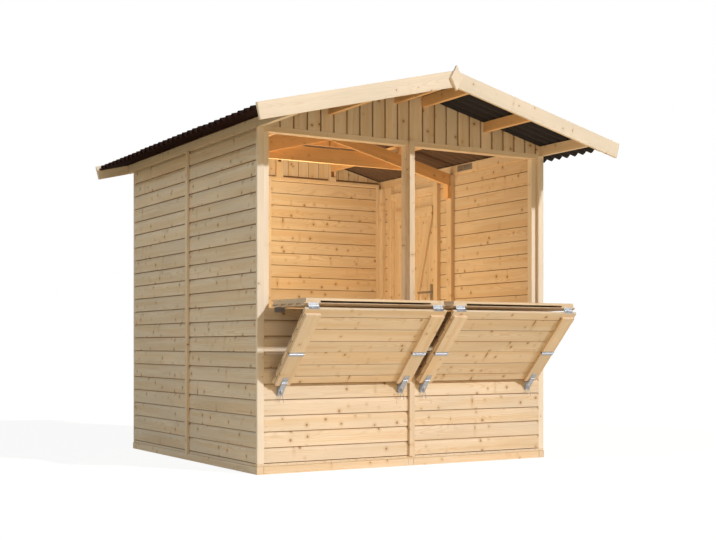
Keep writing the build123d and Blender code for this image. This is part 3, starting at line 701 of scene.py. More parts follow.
def add_boards(piece, points, faces, run, stack, out, first=None, outline=None, cover=None,
               limit=None, rebate=0.0):
    """Fills a slab with boards that run one way and are stacked another, their face outward.

    first is the width of the first board's visible part. limit gives the end of the run
    for a place in the stack, where the ends aren't cut square. rebate is how much lower
    the boards' rear parts start.
    """
    size = boards()
    run, stack, out = (nearest_way(points, faces, Vector(hint)) for hint in (run, stack, out))
    run_low, run_high = (f(p.dot(run) for p in points) for f in (min, max))
    stack_low, stack_high = (f(p.dot(stack) for p in points) for f in (min, max))
    face_at = max(p.dot(out) for p in points)
    thickness = face_at - min(p.dot(out) for p in points)
    lean_share, bow_share = 0.5, 0.4  # of the sway
    cover = cover or size.cover
    first = first or cover
    start = stack_low - min(cover - first, cover)
    while start < stack_high - SLIVER:
        foot = abs(start - stack_low) < FOOT_REACH
        section = [(start + s, d) for s, d in outline or board_outline(thickness, cover, foot)]
        if foot:
            section = foot_section(section, start, stack_low, stack.z > 0.5 and not outline)
        section = clipped(clipped(section, 1, stack_low), -1, stack_high)
        back = piece.chance.uniform(0, size.sway)
        lean = piece.chance.uniform(-1, 1) * size.sway * lean_share
        end_play = piece.chance.uniform(0, END_PLAY)
        steps = max(1, round((run_high - run_low) / BEND_STEP))
        made = []
        for step in range(steps + 1):
            t = step / steps
            bow = size.sway * bow_share * math.sin(3.1 * t + 10 * back / size.sway)
            for s, d in section:
                high = limit(s) if limit else run_high - end_play
                low = run_low + end_play + (rebate if d > REAR_DEPTH else 0.0)
                at = low + t * (high - low)
                depth = min(max(d + back + lean * (t - 0.5) + bow, 0.0), thickness)
                made.append(run * at + stack * s + out * (face_at - depth))
        # Painted shade in each joint and at the back of each recess.
        marks = [joint_shade_mark(d, thickness - size.groove_depth) for s, d in section]
        piece.add(made, skin(steps + 1, len(section)), run, stack, joint=marks * (steps + 1))
        start += cover


def axes_round(way):
    """A unit way and two more, square to it and to each other."""
    way = Vector(way).normalized()
    side = way.orthogonal().normalized()
    return way, side, way.cross(side)


def circle(centre, side, other, reach, count):
    """Points round a centre. reach is their distance, or gives it for an angle."""
    angles = [2 * math.pi * k / count for k in range(count)]
    return [centre + (reach(a) if callable(reach) else reach)
            * (math.cos(a) * side + math.sin(a) * other) for a in angles]


def tube(piece, path, radius, sides):
    """A round bar along a path of points."""
    points, side = [], None
    for before, point, after in zip(path[:1] + path, path, path[1:] + path[-1:]):
        way = (after - before).normalized()
        side = (side - way * side.dot(way)).normalized() if side else way.orthogonal().normalized()
        points += circle(point, side, way.cross(side), radius, sides)
    piece.add(points, skin(len(path), sides), smooth=True)


def screw(piece, place, way, radius=0.0036, rise=0.0009):
    """A countersunk screw head with a cross recess."""
    way, side, other = axes_round(way)
    count, foot = 24, 0.0005
    arm, half = 0.62 * radius, 0.16 * radius

    def cross(a):
        return min(arm, half / max(min(abs(math.sin(a)), abs(math.cos(a))), 1e-6))

    rings = ((radius, -foot), (radius, rise * 0.4), (radius * 0.9, rise), (cross, rise),
             (lambda a: 0.9 * cross(a), rise - 0.5 * radius * 0.5))
    points = [p for reach, up in rings for p in circle(place + way * up, side, other, reach, count)]
    piece.add(points, skin(len(rings), count))


def dome(piece, place, way, radius, rise, sides=12):
    """A shallow round head."""
    way, side, other = axes_round(way)
    rings = ((1.0, -0.2), (1.0, 0.2), (0.72, 0.75), (0.35, 1.0))
    points = [p for reach, up in rings
              for p in circle(place + way * up * rise, side, other, reach * radius, sides)]
    piece.add(points, skin(len(rings), sides), smooth=True)


def screw_places(points, faces):
    """Places and directions for the screws of a flat fitting, two or three to its main face."""
    def normal_of(face):
        return sum((points[a].cross(points[b]) for a, b in zip(face, face[1:] + face[:1])),
                   Vector()) / 2

    def level_of(face):
        return sum((points[i] for i in face), Vector()).dot(normal) / len(face)

    knuckle = 0.0022  # how far a hinge's knuckle stands off the face that has the screws
    main = max(faces, key=lambda face: normal_of(face).length)
    normal = normal_of(main).normalized()
    level = level_of(main)
    low, high = (f(p.dot(normal) for p in points) for f in (min, max))
    if high - level < level - low - knuckle:
        normal = -normal
        parallel = [face for face in faces if normal_of(face).normalized().dot(normal) > 0.999]
        main = max(parallel, key=lambda face: normal_of(face).length)
        level = level_of(main)
    corners = [points[i] for i in main]
    edges = [b - a for a, b in zip(corners, corners[1:] + corners[:1])]
    u = max(edges, key=lambda edge: edge.length).normalized()
    v = normal.cross(u)
    us, vs = sorted(p.dot(u) for p in corners), sorted(p.dot(v) for p in corners)
    long, wide = us[-1] - us[0], vs[-1] - vs[0]
    shares = (0.14, 0.5, 0.86) if long > 0.1 else (0.2, 0.8)
    return [(u * (us[0] + long * share) + v * (vs[0] + wide * 0.5) + normal * level, normal)
            for share in shares]


def roof_line(x):
    """Height of the boards' upper edge at a distance from the middle."""
    return RIDGE - math.tan(boards().roof_pitch) * abs(x)


# ---------------------------------------------------------------- pieces
class STALL_OT_walls(bpy.types.Operator):
    """Horizontal boards of the four walls"""

    bl_idname = "stall.walls"
    bl_label = "Wall boards"

    def execute(self, context):
        walls = {
            "front_wall_boards": (X, -Y), "rear_wall_boards": (X, Y), "left_wall_boards": (Y, -X),
            "right_wall_front_boards": (Y, X), "right_wall_middle_boards": (Y, X),
            "right_wall_over_door_boards": (Y, X), "right_wall_rear_boards": (Y, X),
        }
        for name, (run, out) in walls.items():
            piece = Piece(name.replace("boards", "cladding"))
            for points, faces in solids_of(name):
                low = min(point.z for point in points)
                above = (low - BASE_TOP) % boards().cover
                first = boards().cover - above if above > SLIVER else None
                add_boards(piece, points, faces, run, Z, out, first=first)
            piece.make("stall", "spruce", [name])
        return {"FINISHED"}


class STALL_OT_gables(bpy.types.Operator):
    """Vertical boards of the two gables"""

    bl_idname = "stall.gables"
    bl_label = "Gable boards"

    first_left: bpy.props.FloatProperty(
        name="First left", description="Width of the first board left of the middle",
        default=0.068, unit="LENGTH")
    first_right: bpy.props.FloatProperty(
        name="First right", description="Width of the first board right of the middle",
        default=0.096, unit="LENGTH")
    cover: bpy.props.FloatProperty(
        name="Gable cover", description="Width that one gable board covers", default=0.0857,
        unit="LENGTH")
    joint_left: bpy.props.FloatProperty(
        name="Joint left", description="Left edge of the open joint", default=-0.020, unit="LENGTH")
    joint_right: bpy.props.FloatProperty(
        name="Joint right", description="Right edge of the open joint", default=-0.007,
        unit="LENGTH")
    rebate: bpy.props.FloatProperty(
        name="Rear rebate", description="Height of the gap inside, over the rear wall plate",
        default=0.017, unit="LENGTH")
    end_edge: bpy.props.FloatProperty(
        name="End edge", description="How far the corner pieces stop short of the walls' faces",
        default=0.029, unit="LENGTH")
    roof_play: bpy.props.FloatProperty(
        name="Roof play", description="Gap between the boards' tops and the roof",
        default=0.0005, unit="LENGTH")

    def execute(self, context):
        plates = solids_of("top_plates")
        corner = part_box("front_wall_boards")[1].x
        last = (HALF_WIDTH + self.joint_left - self.first_left) % self.cover
        halves = ((-1, self.joint_left, last), (1, self.joint_right, self.first_right))
        for name, out in (("front_gable_boards", -Y), ("rear_gable_boards", Y)):
            low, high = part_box(name)
            rear = out.y > 0
            foot = max(p.z for points, _ in plates for p in points if (p.y > DEPTH / 2) == rear)
            piece = Piece(name.replace("boards", "cladding"))
            for way, start, first in halves:
                ends = sorted((start, way * HALF_WIDTH))
                slab = box_solid((ends[0], low.y, foot), (ends[1], high.y, high.z))
                add_boards(piece, *slab, Z, X, out, first=first, cover=self.cover,
                           limit=lambda s: roof_line(s) - self.roof_play, rebate=self.rebate * rear)
                ends = sorted((way * corner, way * (HALF_WIDTH - self.end_edge)))
                block = box_solid((ends[0], low.y, low.z), (ends[1], high.y, foot))
                add_timber(piece, *block, along=Z)
            piece.make("stall", "spruce", [name])
        return {"FINISHED"}


class STALL_OT_base(bpy.types.Operator):
    """Base beams with the bottom rails of the wall panels over them"""

    bl_idname = "stall.base"
    bl_label = "Base"

    groove: bpy.props.FloatProperty(
        name="Groove", description="Open joint between the beams and the bottom plates",
        default=0.0008, unit="LENGTH")

    def execute(self, context):
        floor_play, wide_from, end_play = 0.001, 1.0, 0.002
        part, left_gap, right_gap = 0.016, 0.0012, 0.002  # half the middle piece, and beside it
        plate_joint = 0.0012
        piece = Piece("base_timbers")
        for name in ("base_end_strips", "base_side_strips"):
            for points, faces in solids_of(name):
                low, high = points_box(points)
                beam = low.z < floor_play
                if beam:
                    high.z -= self.groove
                parts = ((low.x, high.x),)
                if high.x - low.x > wide_from and beam:
                    parts = ((low.x + end_play, -part - left_gap), (-part, part),
                             (part + right_gap, high.x - end_play))
                elif high.x - low.x > wide_from:
                    parts = ((low.x, -plate_joint / 2), (plate_joint / 2, high.x))
                for x0, x1 in parts:
                    add_timber(piece, *box_solid((x0, low.y, low.z), (x1, high.y, high.z)))
        piece.make("stall", "clear spruce", ["base_end_strips", "base_side_strips"])
        return {"FINISHED"}


class STALL_OT_timbers(bpy.types.Operator):
    """Posts, studs, rails, purlins, truss, trims and bargeboards"""

    bl_idname = "stall.timbers"
    bl_label = "Timbers"

    bodies = dict.fromkeys((
        "corner_boards", "cover_battens", "front_posts", "front_sill_rails", "right_wall_studs",
        "left_wall_studs", "rear_wall_studs", "top_plates", "eave_purlins", "middle_purlins",
        "ridge_purlins", "gable_uprights", "truss_rafters", "truss_cleats", "collar_tie",
        "front_bargeboards", "rear_bargeboards", "finials", "door_frame"), "stall")
    bodies.update({"door_ledges": "door", "door_brace": "door"})
    bodies.update((f"{side}_brace_battens", f"{side}_brace") for side in SIDES)
    finish_of = {
        # Timbers in the roof space take the spruce in painted warm light.
        **dict.fromkeys(("truss_rafters", "collar_tie", "truss_cleats", "middle_purlins",
                         "ridge_purlins"), "spruce in painted roof light"),
        **dict.fromkeys(("corner_boards", "front_posts", "front_bargeboards", "rear_bargeboards",
                         "finials"), "trim spruce"),
    }

    def execute(self, context):
        for name, body in self.bodies.items():
            piece = Piece("planed_" + name)
            for points, faces in solids_of(name):
                if name == "gable_uprights" and self.forked(piece, points):
                    continue
                add_timber(piece, points, faces, along=Z if name == "finials" else None)
            piece.make(body, self.finish_of.get(name, "clear spruce"), [name])
        return {"FINISHED"}

    def forked(self, piece, points):
        """Makes a rear upright: two cheeks that hold a purlin, a block, and a filler between the
        cheeks in full painted shade.
        """
        low, high = points_box(points)
        if low.y < DEPTH / 2:
            return False
        cheek, bite = 0.014, 0.004  # a cheek's width, and how far it stands in the upright's own
        play, under_roof, shade_filler_face = 0.0003, 0.004, 0.006
        outer_block, inner_block, outer_from = 0.030, 0.112, 0.6  # heights, and twice a place in X
        x0, x1 = low.x + bite, high.x - bite
        block_top = low.z + (outer_block if abs(x0 + x1) > outer_from else inner_block)
        add_timber(piece, *box_solid((x0 + play, low.y, low.z), (x1 - play, high.y, block_top)))
        for a, b in ((x0 - cheek, x0), (x1, x1 + cheek)):
            top = roof_line(max(abs(a), abs(b))) - under_roof
            add_timber(piece, *box_solid((a, low.y, low.z), (b, high.y, top)))
        # Painted shade: a filler in full joint shade stands where the pocket between the cheeks
        # lies in shade.
        shade_filler, sides = box_solid((x0 + play, low.y + shade_filler_face, block_top + play),
                                   (x1 - play, high.y - play, high.z - play))
        piece.add(shade_filler, sides, X, Z, joint=[1.0] * len(shade_filler))
        return True


class STALL_OT_truss(bpy.types.Operator):
    """Cleats on the truss rafters beside the purlins"""

    bl_idname = "stall.truss"
    bl_label = "Truss fittings"

    cleat: bpy.props.FloatProperty(
        name="Cleat length", description="Length of a cleat beside a purlin", default=0.070,
        unit="LENGTH")
    rise: bpy.props.FloatProperty(
        name="Cleat rise", description="How much taller a cleat is beside its purlin",
        default=0.030, unit="LENGTH")
    tip: bpy.props.FloatProperty(
        name="Cleat tip", description="Height of a cleat at its thin end", default=0.004,
        unit="LENGTH")

    def execute(self, context):
        low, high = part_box("truss_rafters")
        slope = math.tan(boards().roof_pitch)
        purlin_width, play = 0.028, 0.0005
        piece = Piece("purlin_cleats")
        for name in ("middle_purlins", "ridge_purlins"):
            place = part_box(name)[1].x
            for edge, way in ((place, 1), (place - purlin_width, -1)):
                ends = sorted((edge + way * play, edge + way * (self.cleat + play)))
                feet = [high.z - slope * x for x in ends]
                tops = [feet[0] + self.rise, feet[1]] if way > 0 else [feet[0], feet[1] + self.rise]
                shape = [(ends[0], feet[0]), (ends[1], feet[1]), (ends[1], tops[1] + self.tip),
                         (ends[0], tops[0] + self.tip)]
                for side in (-1, 1):
                    outline = [(side * x, z) for x, z in shape]
                    add_timber(piece, *prism_solid(outline, low.y, high.y))
        piece.make("stall", "clear spruce")
        return {"FINISHED"}


class STALL_OT_door(bpy.types.Operator):
    """Vertical boards of the door"""

    bl_idname = "stall.door"
    bl_label = "Door boards"

    board_count: bpy.props.IntProperty(
        name="Boards", description="Boards across the door", default=6, min=2, max=12)
    chamfer: bpy.props.FloatProperty(
        name="Chamfer", description="Chamfer on the boards' edges", default=0.0034, unit="LENGTH")

    def execute(self, context):
        low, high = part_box("door_boards")
        width = (high.y - low.y) / self.board_count
        piece = Piece("door_cladding")
        add_boards(piece, *box_solid(low, high), Z, Y, X, cover=width,
                   outline=plain_outline(width, high.x - low.x, self.chamfer))
        piece.make("door", "spruce", ["door_boards"])
        return {"FINISHED"}


class STALL_OT_counters(bpy.types.Operator):
    """Boards of the folding counters"""

    bl_idname = "stall.counters"
    bl_label = "Counter boards"

    top_count: bpy.props.IntProperty(
        name="Top boards", description="Boards across a counter's top", default=4, min=1, max=8)
    top_gap: bpy.props.FloatProperty(
        name="Top gap", description="Gap between top boards, and the chamfer on their edges",
        default=0.0008, unit="LENGTH")

    def execute(self, context):
        cover = boards().cover
        down, behind = Vector((0, 0.63, -0.776)), Vector((0, 0.776, 0.63))  # as the braces lean
        for side in SIDES:
            piece = Piece(f"{side}_shelf_cladding")
            slab = solids_of(f"{side}_shelf_boards")[0]
            low, high = points_box(slab[0])
            add_boards(piece, *slab, X, -Y, -Z, first=(high.y - low.y) % cover)
            piece.make(f"{side}_shelf", "spruce", [f"{side}_shelf_boards"])
            solids = sorted(solids_of(f"{side}_shelf_top"), key=highest_first)
            low, high = points_box(solids[0][0])
            width = (high.y - low.y) / self.top_count
            piece = Piece(f"{side}_shelf_top_boards")
            for points, faces in solids[1:]:
                add_timber(piece, points, faces)
            add_boards(piece, *box_solid(low, high), X, -Y, Z, cover=width,
                       outline=plain_outline(width - self.top_gap, high.z - low.z, self.top_gap))
            piece.make(f"{side}_shelf", "clear spruce", [f"{side}_shelf_top"])
            piece = Piece(f"{side}_brace_cladding")
            leaves = sorted(solids_of(f"{side}_brace_boards"), key=highest_first)
            for leaf, full_first in zip(leaves, (False, True)):
                way = nearest_way(*leaf, down)
                length = max(p.dot(way) for p in leaf[0]) - min(p.dot(way) for p in leaf[0])
                first = None if full_first else length % cover
                add_boards(piece, *leaf, X, down, behind, first=first)
            piece.make(f"{side}_brace", "spruce", [f"{side}_brace_boards"])
        return {"FINISHED"}


class STALL_OT_roof(bpy.types.Operator):
    """Corrugated bitumen sheets, ridge cap and capped nails"""

    bl_idname = "stall.roof"
    bl_label = "Roof"

    waves: bpy.props.IntProperty(
        name="Waves", description="Waves of the sheets along the roof", default=33, min=4, max=80)
    samples: bpy.props.IntProperty(
        name="Wave steps", description="Flat steps in each wave", default=14, min=6, max=32)
    sheet: bpy.props.FloatProperty(
        name="Sheet thickness", description="Thickness of the sheets", default=0.003, unit="LENGTH")
    height: bpy.props.FloatProperty(
        name="Wave height", description="Height of the waves over all", default=0.030,
        unit="LENGTH")

    def execute(self, context):
        low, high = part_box("roof_sheet_right")
        pitch = (high.y - low.y) / self.waves
        angle = boards().roof_pitch
        down = Vector((math.cos(angle), 0, -math.sin(angle)))
        up = Vector((math.sin(angle), 0, math.cos(angle)))
        seat, from_ridge = 0.0006, 0.012
        start = Vector((0.0, 0.0, RIDGE)) + up * (self.height / 2 + seat) + down * from_ridge
        length = (high.x - start.x) / math.cos(angle) - self.height / 2 * math.tan(angle)
        wall = (HALF_WIDTH - start.x) / (high.x - start.x)
        # First and last wave of each width and its lift. The middle one laps over both others.
        widths = ((0, 11, 0.0), (10, 23, self.sheet * 0.95), (22, self.waves, 0.0))
        for side, way in (("right", 1), ("left", -1)):
            piece = Piece(f"roof_sheets_{side}")
            for first, last, lift in widths:
                rows = self.wave_rows(first, last, lift, start, up, low.y, pitch)
                points = [row + down * length * part for part in (0.0, wall, 1.0) for row in rows]
                points = [Vector((way * p.x, p.y, p.z)) for p in points]
                piece.add(points, self.sheet_faces(len(rows)), down, Y, smooth=True)
            made = piece.make("stall", "bitumen", [f"roof_sheet_{side}"])
            made.data.materials.append(finishes["bitumen underside painted light"])
            made.data.materials.append(finishes["bitumen eaves painted light"])
            # Painted light: underside faces over the stall get the painted light from below, the
            # other undersides but the left eave's get the greyer painted light, and the left eave's
            # underside keeps the sheet's own dark colour as it lies in shade.
            for face in made.data.polygons:
                under = face.normal.z < 0 and face.center.x > -HALF_WIDTH
                inner = abs(face.center.x) < HALF_WIDTH and 0 < face.center.y < DEPTH
                face.material_index = (1 if inner else 2) if under else 0
        self.cap(angle)
        self.nails(low, pitch, start, down, up)
        return {"FINISHED"}

    def wave_rows(self, first, last, lift, start, up, y_low, pitch):
        """Points along a sheet's upper end, upper and lower face in turn."""
        swing = (self.height - self.sheet) / 2
        rows = []
        for k in range((last - first) * self.samples + 1):
            wave = first + k / self.samples
            turn = 2 * math.pi * wave
            tilt = math.atan(swing * 2 * math.pi / pitch * math.cos(turn))
            across = Vector((0, -math.sin(tilt), 0)) + up * math.cos(tilt)
            for face in (1, -1):
                place = start + up * (swing * math.sin(turn) + lift)
                place += across * face * self.sheet / 2
                rows.append(place + Y * (y_low + pitch * wave))
        return rows

    def sheet_faces(self, n):
        """Faces of a sheet from three rows of n points: ridge, wall line and eaves."""
        faces = []
        for a in (0, n):
            for k in range(0, n - 2, 2):
                faces += [[a + k, a + k + 2, a + n + k + 2, a + n + k],
                          [a + k + 1, a + n + k + 1, a + n + k + 3, a + k + 3]]
            faces += [[a, a + n, a + n + 1, a + 1],
                      [a + n - 2, a + n - 1, a + 2 * n - 1, a + 2 * n - 2]]
        for k in range(0, n - 2, 2):
            faces += [[k, k + 1, k + 3, k + 2],
                      [2 * n + k, 2 * n + k + 2, 2 * n + k + 3, 2 * n + k + 1]]
        return faces

    def cap(self, angle):
        """The ridge cap: three lengths with a rounded fold, each lapped over the last."""
        low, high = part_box("ridge_cap")
        count, lap, lifted_tip = 3, 0.06, 0.0015
        fold, steps = 0.045, 10  # half the rounded fold's width, and steps across half the cap
        piece = Piece("ridge_cap_sheets")
        run = (high.y - low.y) / count
        for number in range(count):
            y0 = low.y + number * run - (lap if number else 0)
            y1 = low.y + (number + 1) * run
            section = []
            for face in (0.0, self.sheet):
                line = []
                for k in range(-steps, steps + 1):
                    x = high.x * (k / steps)
                    soft = max(0.0, fold - abs(x))
                    drop = math.tan(angle) * (abs(x) + soft * soft / (2 * fold))
                    line.append((x, high.z - drop - face / math.cos(angle)))
                section += line[::-1] if face else line
            tip = lifted_tip if number else 0.0
            points = [Vector((x, y, z + up)) for y, up in ((y0, tip), (y1, 0.0))
                      for x, z in section]
            n = len(section)
            faces = skin(2, n)[:n]
            for base in (0, n):
                faces += [[base + i, base + i + 1, base + n - 2 - i, base + n - 1 - i]
                          for i in range(n // 2 - 1)]
            piece.add(points, faces, Y, X, smooth=True)
        piece.make("stall", "bitumen", ["ridge_cap"])

    def nails(self, low, pitch, start, down, up):
        """Capped nails on every second crest, over each purlin."""
        half_purlin, play, radius, rise = 0.014, 0.0012, 0.009, 0.006
        piece = Piece("roof_nails")
        for name in ("eave_purlins", "middle_purlins", "ridge_purlins"):
            along = (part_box(name)[1].x - half_purlin - start.x) / down.x
            for wave in range(0, self.waves, 2):
                y = low.y + pitch * (wave + 0.25)
                for way in (-1, 1):
                    spot = start + down * along + up * (self.height / 2 + play)
                    spot = Vector((way * spot.x, y, spot.z))
                    dome(piece, spot, Vector((way * up.x, 0, up.z)), radius, rise)
        piece.make("stall", "bitumen")


class STALL_OT_ironwork(bpy.types.Operator):
    """Finishes of the hinges, hasps, plates and handle"""

    bl_idname = "stall.ironwork"
    bl_label = "Ironwork"

    def execute(self, context):
        plated = ["splice_plates", "door_hinge_straps", "door_hinge_plates", "sill_hinge_plates",
                  "hasp_pegs"]
        for side in SIDES:
            plated += [f"{side}_shelf_hinges", f"{side}_brace_hinges", f"{side}_hasps"]
        for name in plated + ["door_handle"]:
            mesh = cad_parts[name].data
            mesh.materials.clear()
            mesh.materials.append(finishes["steel" if name == "door_handle" else "zinc"])
        self.screws(plated)
        self.lock_cylinders()
        self.pins()
        self.nails()
        return {"FINISHED"}

    def screws(self, names):
        """Screw heads on the hinge leaves, straps, plates and hasp pegs, but not on the splice
        plates or the hasps.
        """
        bodies = {"door_hinge_straps": "door"}
        for side in SIDES:
            for part in ("shelf", "brace"):
                bodies[f"{side}_{part}_hinges"] = f"{side}_{part}"
        for name in names:
            if name == "splice_plates" or name.endswith("hasps"):
                continue
            piece = Piece(f"screws_{name}")
            for points, faces in solids_of(name):
                for place, way in screw_places(points, faces):
                    screw(piece, place, way)
            piece.make(bodies.get(name, "stall"), "nail")

    def lock_cylinders(self):
        """Lock cylinders with a key slot, in the handle's plates."""
        low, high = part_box("door_handle")
        spindle = max(solids_of("door_handle"), key=lambda s: len(s[0]))[0]
        ends = [p.y for p in spindle if abs(p.z - high.z) < 0.0005]
        y = (low.y + min(ends) + max(ends)) / 3
        sunk = 0.002  # where a barrel starts behind the door's face
        key_height = 0.050  # over the plates' lower end
        half_slot = Vector((0.0004, 0.0009, 0.0045))
        # Height, radius and reach of the round barrel and of the narrow foot under it.
        barrels = ((key_height, 0.0085, 0.0062), (0.041, 0.0052, 0.0060))
        door_back, door_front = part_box("door_boards")
        piece = Piece("lock_cylinders")
        for face, way in ((door_back.x, -1), (door_front.x, 1)):
            for z, radius, reach in barrels:
                start = Vector((face + way * sunk, y, low.z + z))
                tube(piece, [start, start + X * way * (reach - sunk)], radius, sides=24)
            slot = Vector((face + way * barrels[0][2], y, low.z + key_height))
            add_timber(piece, *box_solid(slot - half_slot, slot + half_slot))
        piece.make("door", "nail")

    def pins(self):
        """Wire pins that hang from the pegs of the hasps."""
        under, from_front, radius = 0.0046, 0.003, 0.0015
        bends = [(-0.013, 0.001, -0.052), (-0.011, 0, -0.038), (-0.005, 0, -0.020),
                 (-0.002, 0, -0.006), (0.0, 0, 0.0), (0.003, 0, -0.006),
                 (0.006, -0.001, -0.020), (0.009, -0.001, -0.040), (0.015, 0.001, -0.058)]
        piece = Piece("peg_pins")
        for points, faces in solids_of("hasp_pegs"):
            low, high = points_box(points)
            x, y, z = (low.x + high.x) / 2, low.y + from_front, (low.z + high.z) / 2 - under
            tube(piece, [Vector((x + a, y + b, z + c)) for a, b, c in bends], radius, sides=8)
        piece.make("stall", "nail")

    def nails(self):
        """Nail heads in the wall boards, over the studs, and over the base."""
        radius, rise, sunk, strip_rise = 0.0022, 0.0010, 0.0006, 0.0010
        post, end_post, half_middle, over_foot = 0.036, 0.012, 0.032, 0.028
        top_margin, door_margin, strip_nails, below_boards = 0.02, 0.02, 34, 0.006
        piece = Piece("board_nails")
        side = (post, DEPTH / 2 - post, DEPTH / 2 + post, DEPTH - post)
        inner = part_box("front_wall_boards")[1].x
        end = (-inner + end_post, -half_middle, half_middle, inner - end_post)
        door_low, door_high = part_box("right_wall_over_door_boards")
        doorway = (door_low.y - door_margin, door_high.y + door_margin)
        runs = [(Vector((-HALF_WIDTH, 0, 0)), Y, -X, side, "left_wall_boards", None),
                (Vector((HALF_WIDTH, 0, 0)), Y, X, side, "left_wall_boards", doorway),
                (Vector((0, 0, 0)), X, -Y, end, "front_wall_boards", None),
                (Vector((0, DEPTH, 0)), X, Y, end, "rear_wall_boards", None)]
        for base, along, out, places, name, gap in runs:
            z = BASE_TOP + over_foot
            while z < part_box(name)[1].z - top_margin:
                for at in places:
                    if gap and gap[0] < at < gap[1] and z < door_low.z:
                        continue
                    dome(piece, base + along * at + Z * z - out * sunk, out, radius, rise, sides=8)
                z += boards().cover
        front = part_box("base_end_strips")[0].y
        for k in range(strip_nails):
            x = inner * (2 * (k + 0.5) / strip_nails - 1)
            place = Vector((x, front + sunk, BASE_TOP - below_boards))
            dome(piece, place, -Y, radius, strip_rise, sides=8)
        piece.make("stall", "nail")


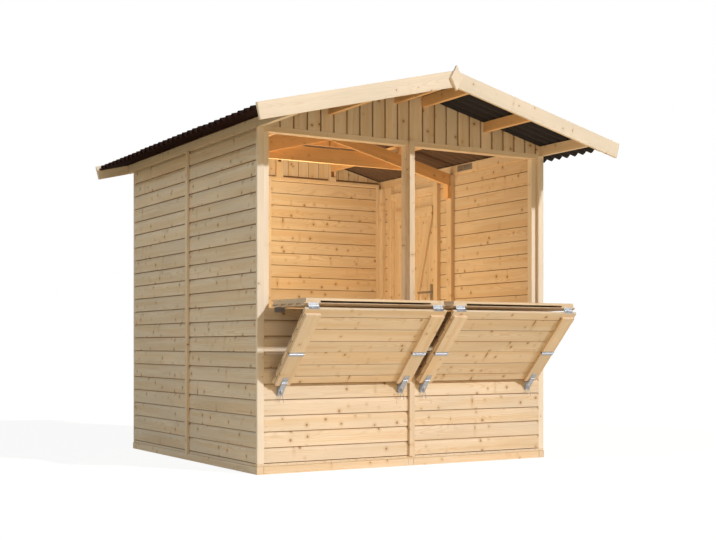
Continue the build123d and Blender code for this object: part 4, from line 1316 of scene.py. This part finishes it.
class STALL_OT_stage(bpy.types.Operator):
    """Floor, light and camera"""

    bl_idname = "stall.stage"
    bl_label = "Stage"

    key_way, side_way = Vector((-0.545, 1.0, -0.60)), Vector((1.0, 0.12, -0.70))
    side_size = 0.6  # angle that the side light fills
    front_place, front_way = Vector((-0.8, -3.3, 0.25)), Vector((0.8, 3.4, 1.5))

    def execute(self, context):
        scene = context.scene
        stage = scene.stall_stage
        scene.view_settings.view_transform = "Standard"
        self.world(scene, stage)
        floor = self.floor(stage)
        self.light("key_light", "SUN", stage.sun, stage.sun_tint, way=self.key_way,
                   angle=stage.sun_size)
        self.light("side_light", "SUN", stage.side, stage.side_tint, way=self.side_way,
                   angle=self.side_size)
        self.light("inside_light", "AREA", stage.inside, stage.inside_tint,
                   (0.0, DEPTH / 2, 0.03), Z, size=1.1)
        self.light("rear_light", "POINT", stage.behind, stage.inside_tint,
                   (-0.15, DEPTH * 0.60, 1.70), shadow_soft_size=0.30)
        self.light("front_light", "AREA", stage.front, stage.front_tint, self.front_place,
                   self.front_way, size=2.4)
        self.camera(scene, stage)
        return {"FINISHED"}

    def world(self, scene, stage):
        """Even light from all round, plain white to the camera."""
        world = bpy.data.worlds.new("Studio")
        scene.world = world
        world.use_nodes = True
        tree = world.node_tree
        fill = tree.nodes["Background"]
        fill.inputs["Color"].default_value = opaque(stage.sky_tint)
        fill.inputs["Strength"].default_value = stage.sky
        self.show_white(tree, fill, "ShaderNodeBackground", tree.nodes["World Output"], 1.0, 1.0)

    def light(self, name, kind, strength, tint, place=(0.0, 0.0, 0.0), way=None, **settings):
        """Adds a light that the camera doesn't see, at a place and turned one way."""
        lamp = bpy.data.lights.new(name, kind)
        lamp.energy = strength
        lamp.color = tint
        for key, value in settings.items():
            setattr(lamp, key, value)
        light = bpy.data.objects.new(name, lamp)
        light.location = place
        if way:
            light.rotation_euler = way.to_track_quat("-Z", "Y").to_euler()
        light.visible_camera = False
        bpy.context.scene.collection.objects.link(light)

    def camera(self, scene, stage):
        """The camera, level, with its view shifted up."""
        lens = bpy.data.cameras.new("camera")
        lens.sensor_width = 36.0
        lens.lens = stage.lens
        lens.shift_y = stage.camera_rise
        lens.clip_end = 200.0
        camera = bpy.data.objects.new("camera", lens)
        camera.location = stage.camera_place
        camera.rotation_euler = (math.pi / 2, 0.0, -stage.camera_turn)
        scene.collection.objects.link(camera)
        scene.camera = camera

    def show_white(self, tree, lit, kind, output, share, strength, tint=(1.0, 1.0, 1.0)):
        """Shows plain white to the camera and in reflections, in the given share."""
        rays = node(tree, "ShaderNodeLightPath").outputs
        seen = maths(tree, "MAXIMUM", rays["Is Camera Ray"], rays["Is Glossy Ray"])
        seen = maths(tree, "MAXIMUM", seen, rays["Is Transmission Ray"])
        seen = maths(tree, "MULTIPLY", seen, share)
        white = node(tree, kind, {"Color": opaque(tint), "Strength": strength})
        both = node(tree, "ShaderNodeMixShader", {0: seen, 1: lit.outputs[0], 2: white.outputs[0]})
        tree.links.new(both.outputs[0], output.inputs["Surface"])

    def floor(self, stage):
        """A wide pale floor that shows as white and keeps the stall's shadow."""
        mesh = bpy.data.meshes.new("floor")
        reach = 60.0
        corners = [(-reach, -reach, 0), (reach, -reach, 0), (reach, reach, 0), (-reach, reach, 0)]
        mesh.from_pydata(corners, [], [[0, 1, 2, 3]])
        material = bpy.data.materials.new("Pale floor")
        material.use_nodes = True
        tree = material.node_tree
        shader = tree.nodes["Principled BSDF"]
        shader.inputs["Base Color"].default_value = opaque(stage.floor_tint)
        shader.inputs["Roughness"].default_value = 0.9
        shader.inputs["Specular IOR Level"].default_value = 0.0
        self.show_white(tree, shader, "ShaderNodeEmission", tree.nodes["Material Output"],
                        stage.floor_share, stage.floor_white, stage.floor_white_tint)
        mesh.materials.append(material)
        floor = bpy.data.objects.new("floor", mesh)
        bpy.context.scene.collection.objects.link(floor)
        return floor


STEPS = (STALL_OT_walls, STALL_OT_gables, STALL_OT_base, STALL_OT_timbers, STALL_OT_truss,
         STALL_OT_door, STALL_OT_counters, STALL_OT_roof, STALL_OT_ironwork, STALL_OT_stage)


class STALL_PT_panel(bpy.types.Panel):
    """Lists the sizes, the colours and the steps"""

    bl_idname = "STALL_PT_panel"
    bl_label = "Market stall"
    bl_space_type = "VIEW_3D"
    bl_region_type = "UI"
    bl_category = "Stall"

    def draw(self, context):
        for key, kind in GROUPS.items():
            box = self.layout.box()
            for name in kind.__annotations__:
                box.prop(getattr(context.scene, key), name)
        for step in STEPS:
            self.layout.operator(step.bl_idname)


GROUPS = {"stall_boards": StallBoards, "stall_colours": StallColours, "stall_stage": StallStage}


def register():
    for kind in (*GROUPS.values(), *STEPS, STALL_PT_panel):
        bpy.utils.register_class(kind)
    for name, kind in GROUPS.items():
        setattr(bpy.types.Scene, name, bpy.props.PointerProperty(type=kind))


def unregister():
    for name in GROUPS:
        delattr(bpy.types.Scene, name)
    for kind in (STALL_PT_panel, *reversed(STEPS), *GROUPS.values()):
        bpy.utils.unregister_class(kind)


def main():
    register()
    make_finishes()
    for step in STEPS:
        category, name = step.bl_idname.split(".")
        getattr(getattr(bpy.ops, category), name)()
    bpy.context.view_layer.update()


if __name__ == "__main__":
    main()
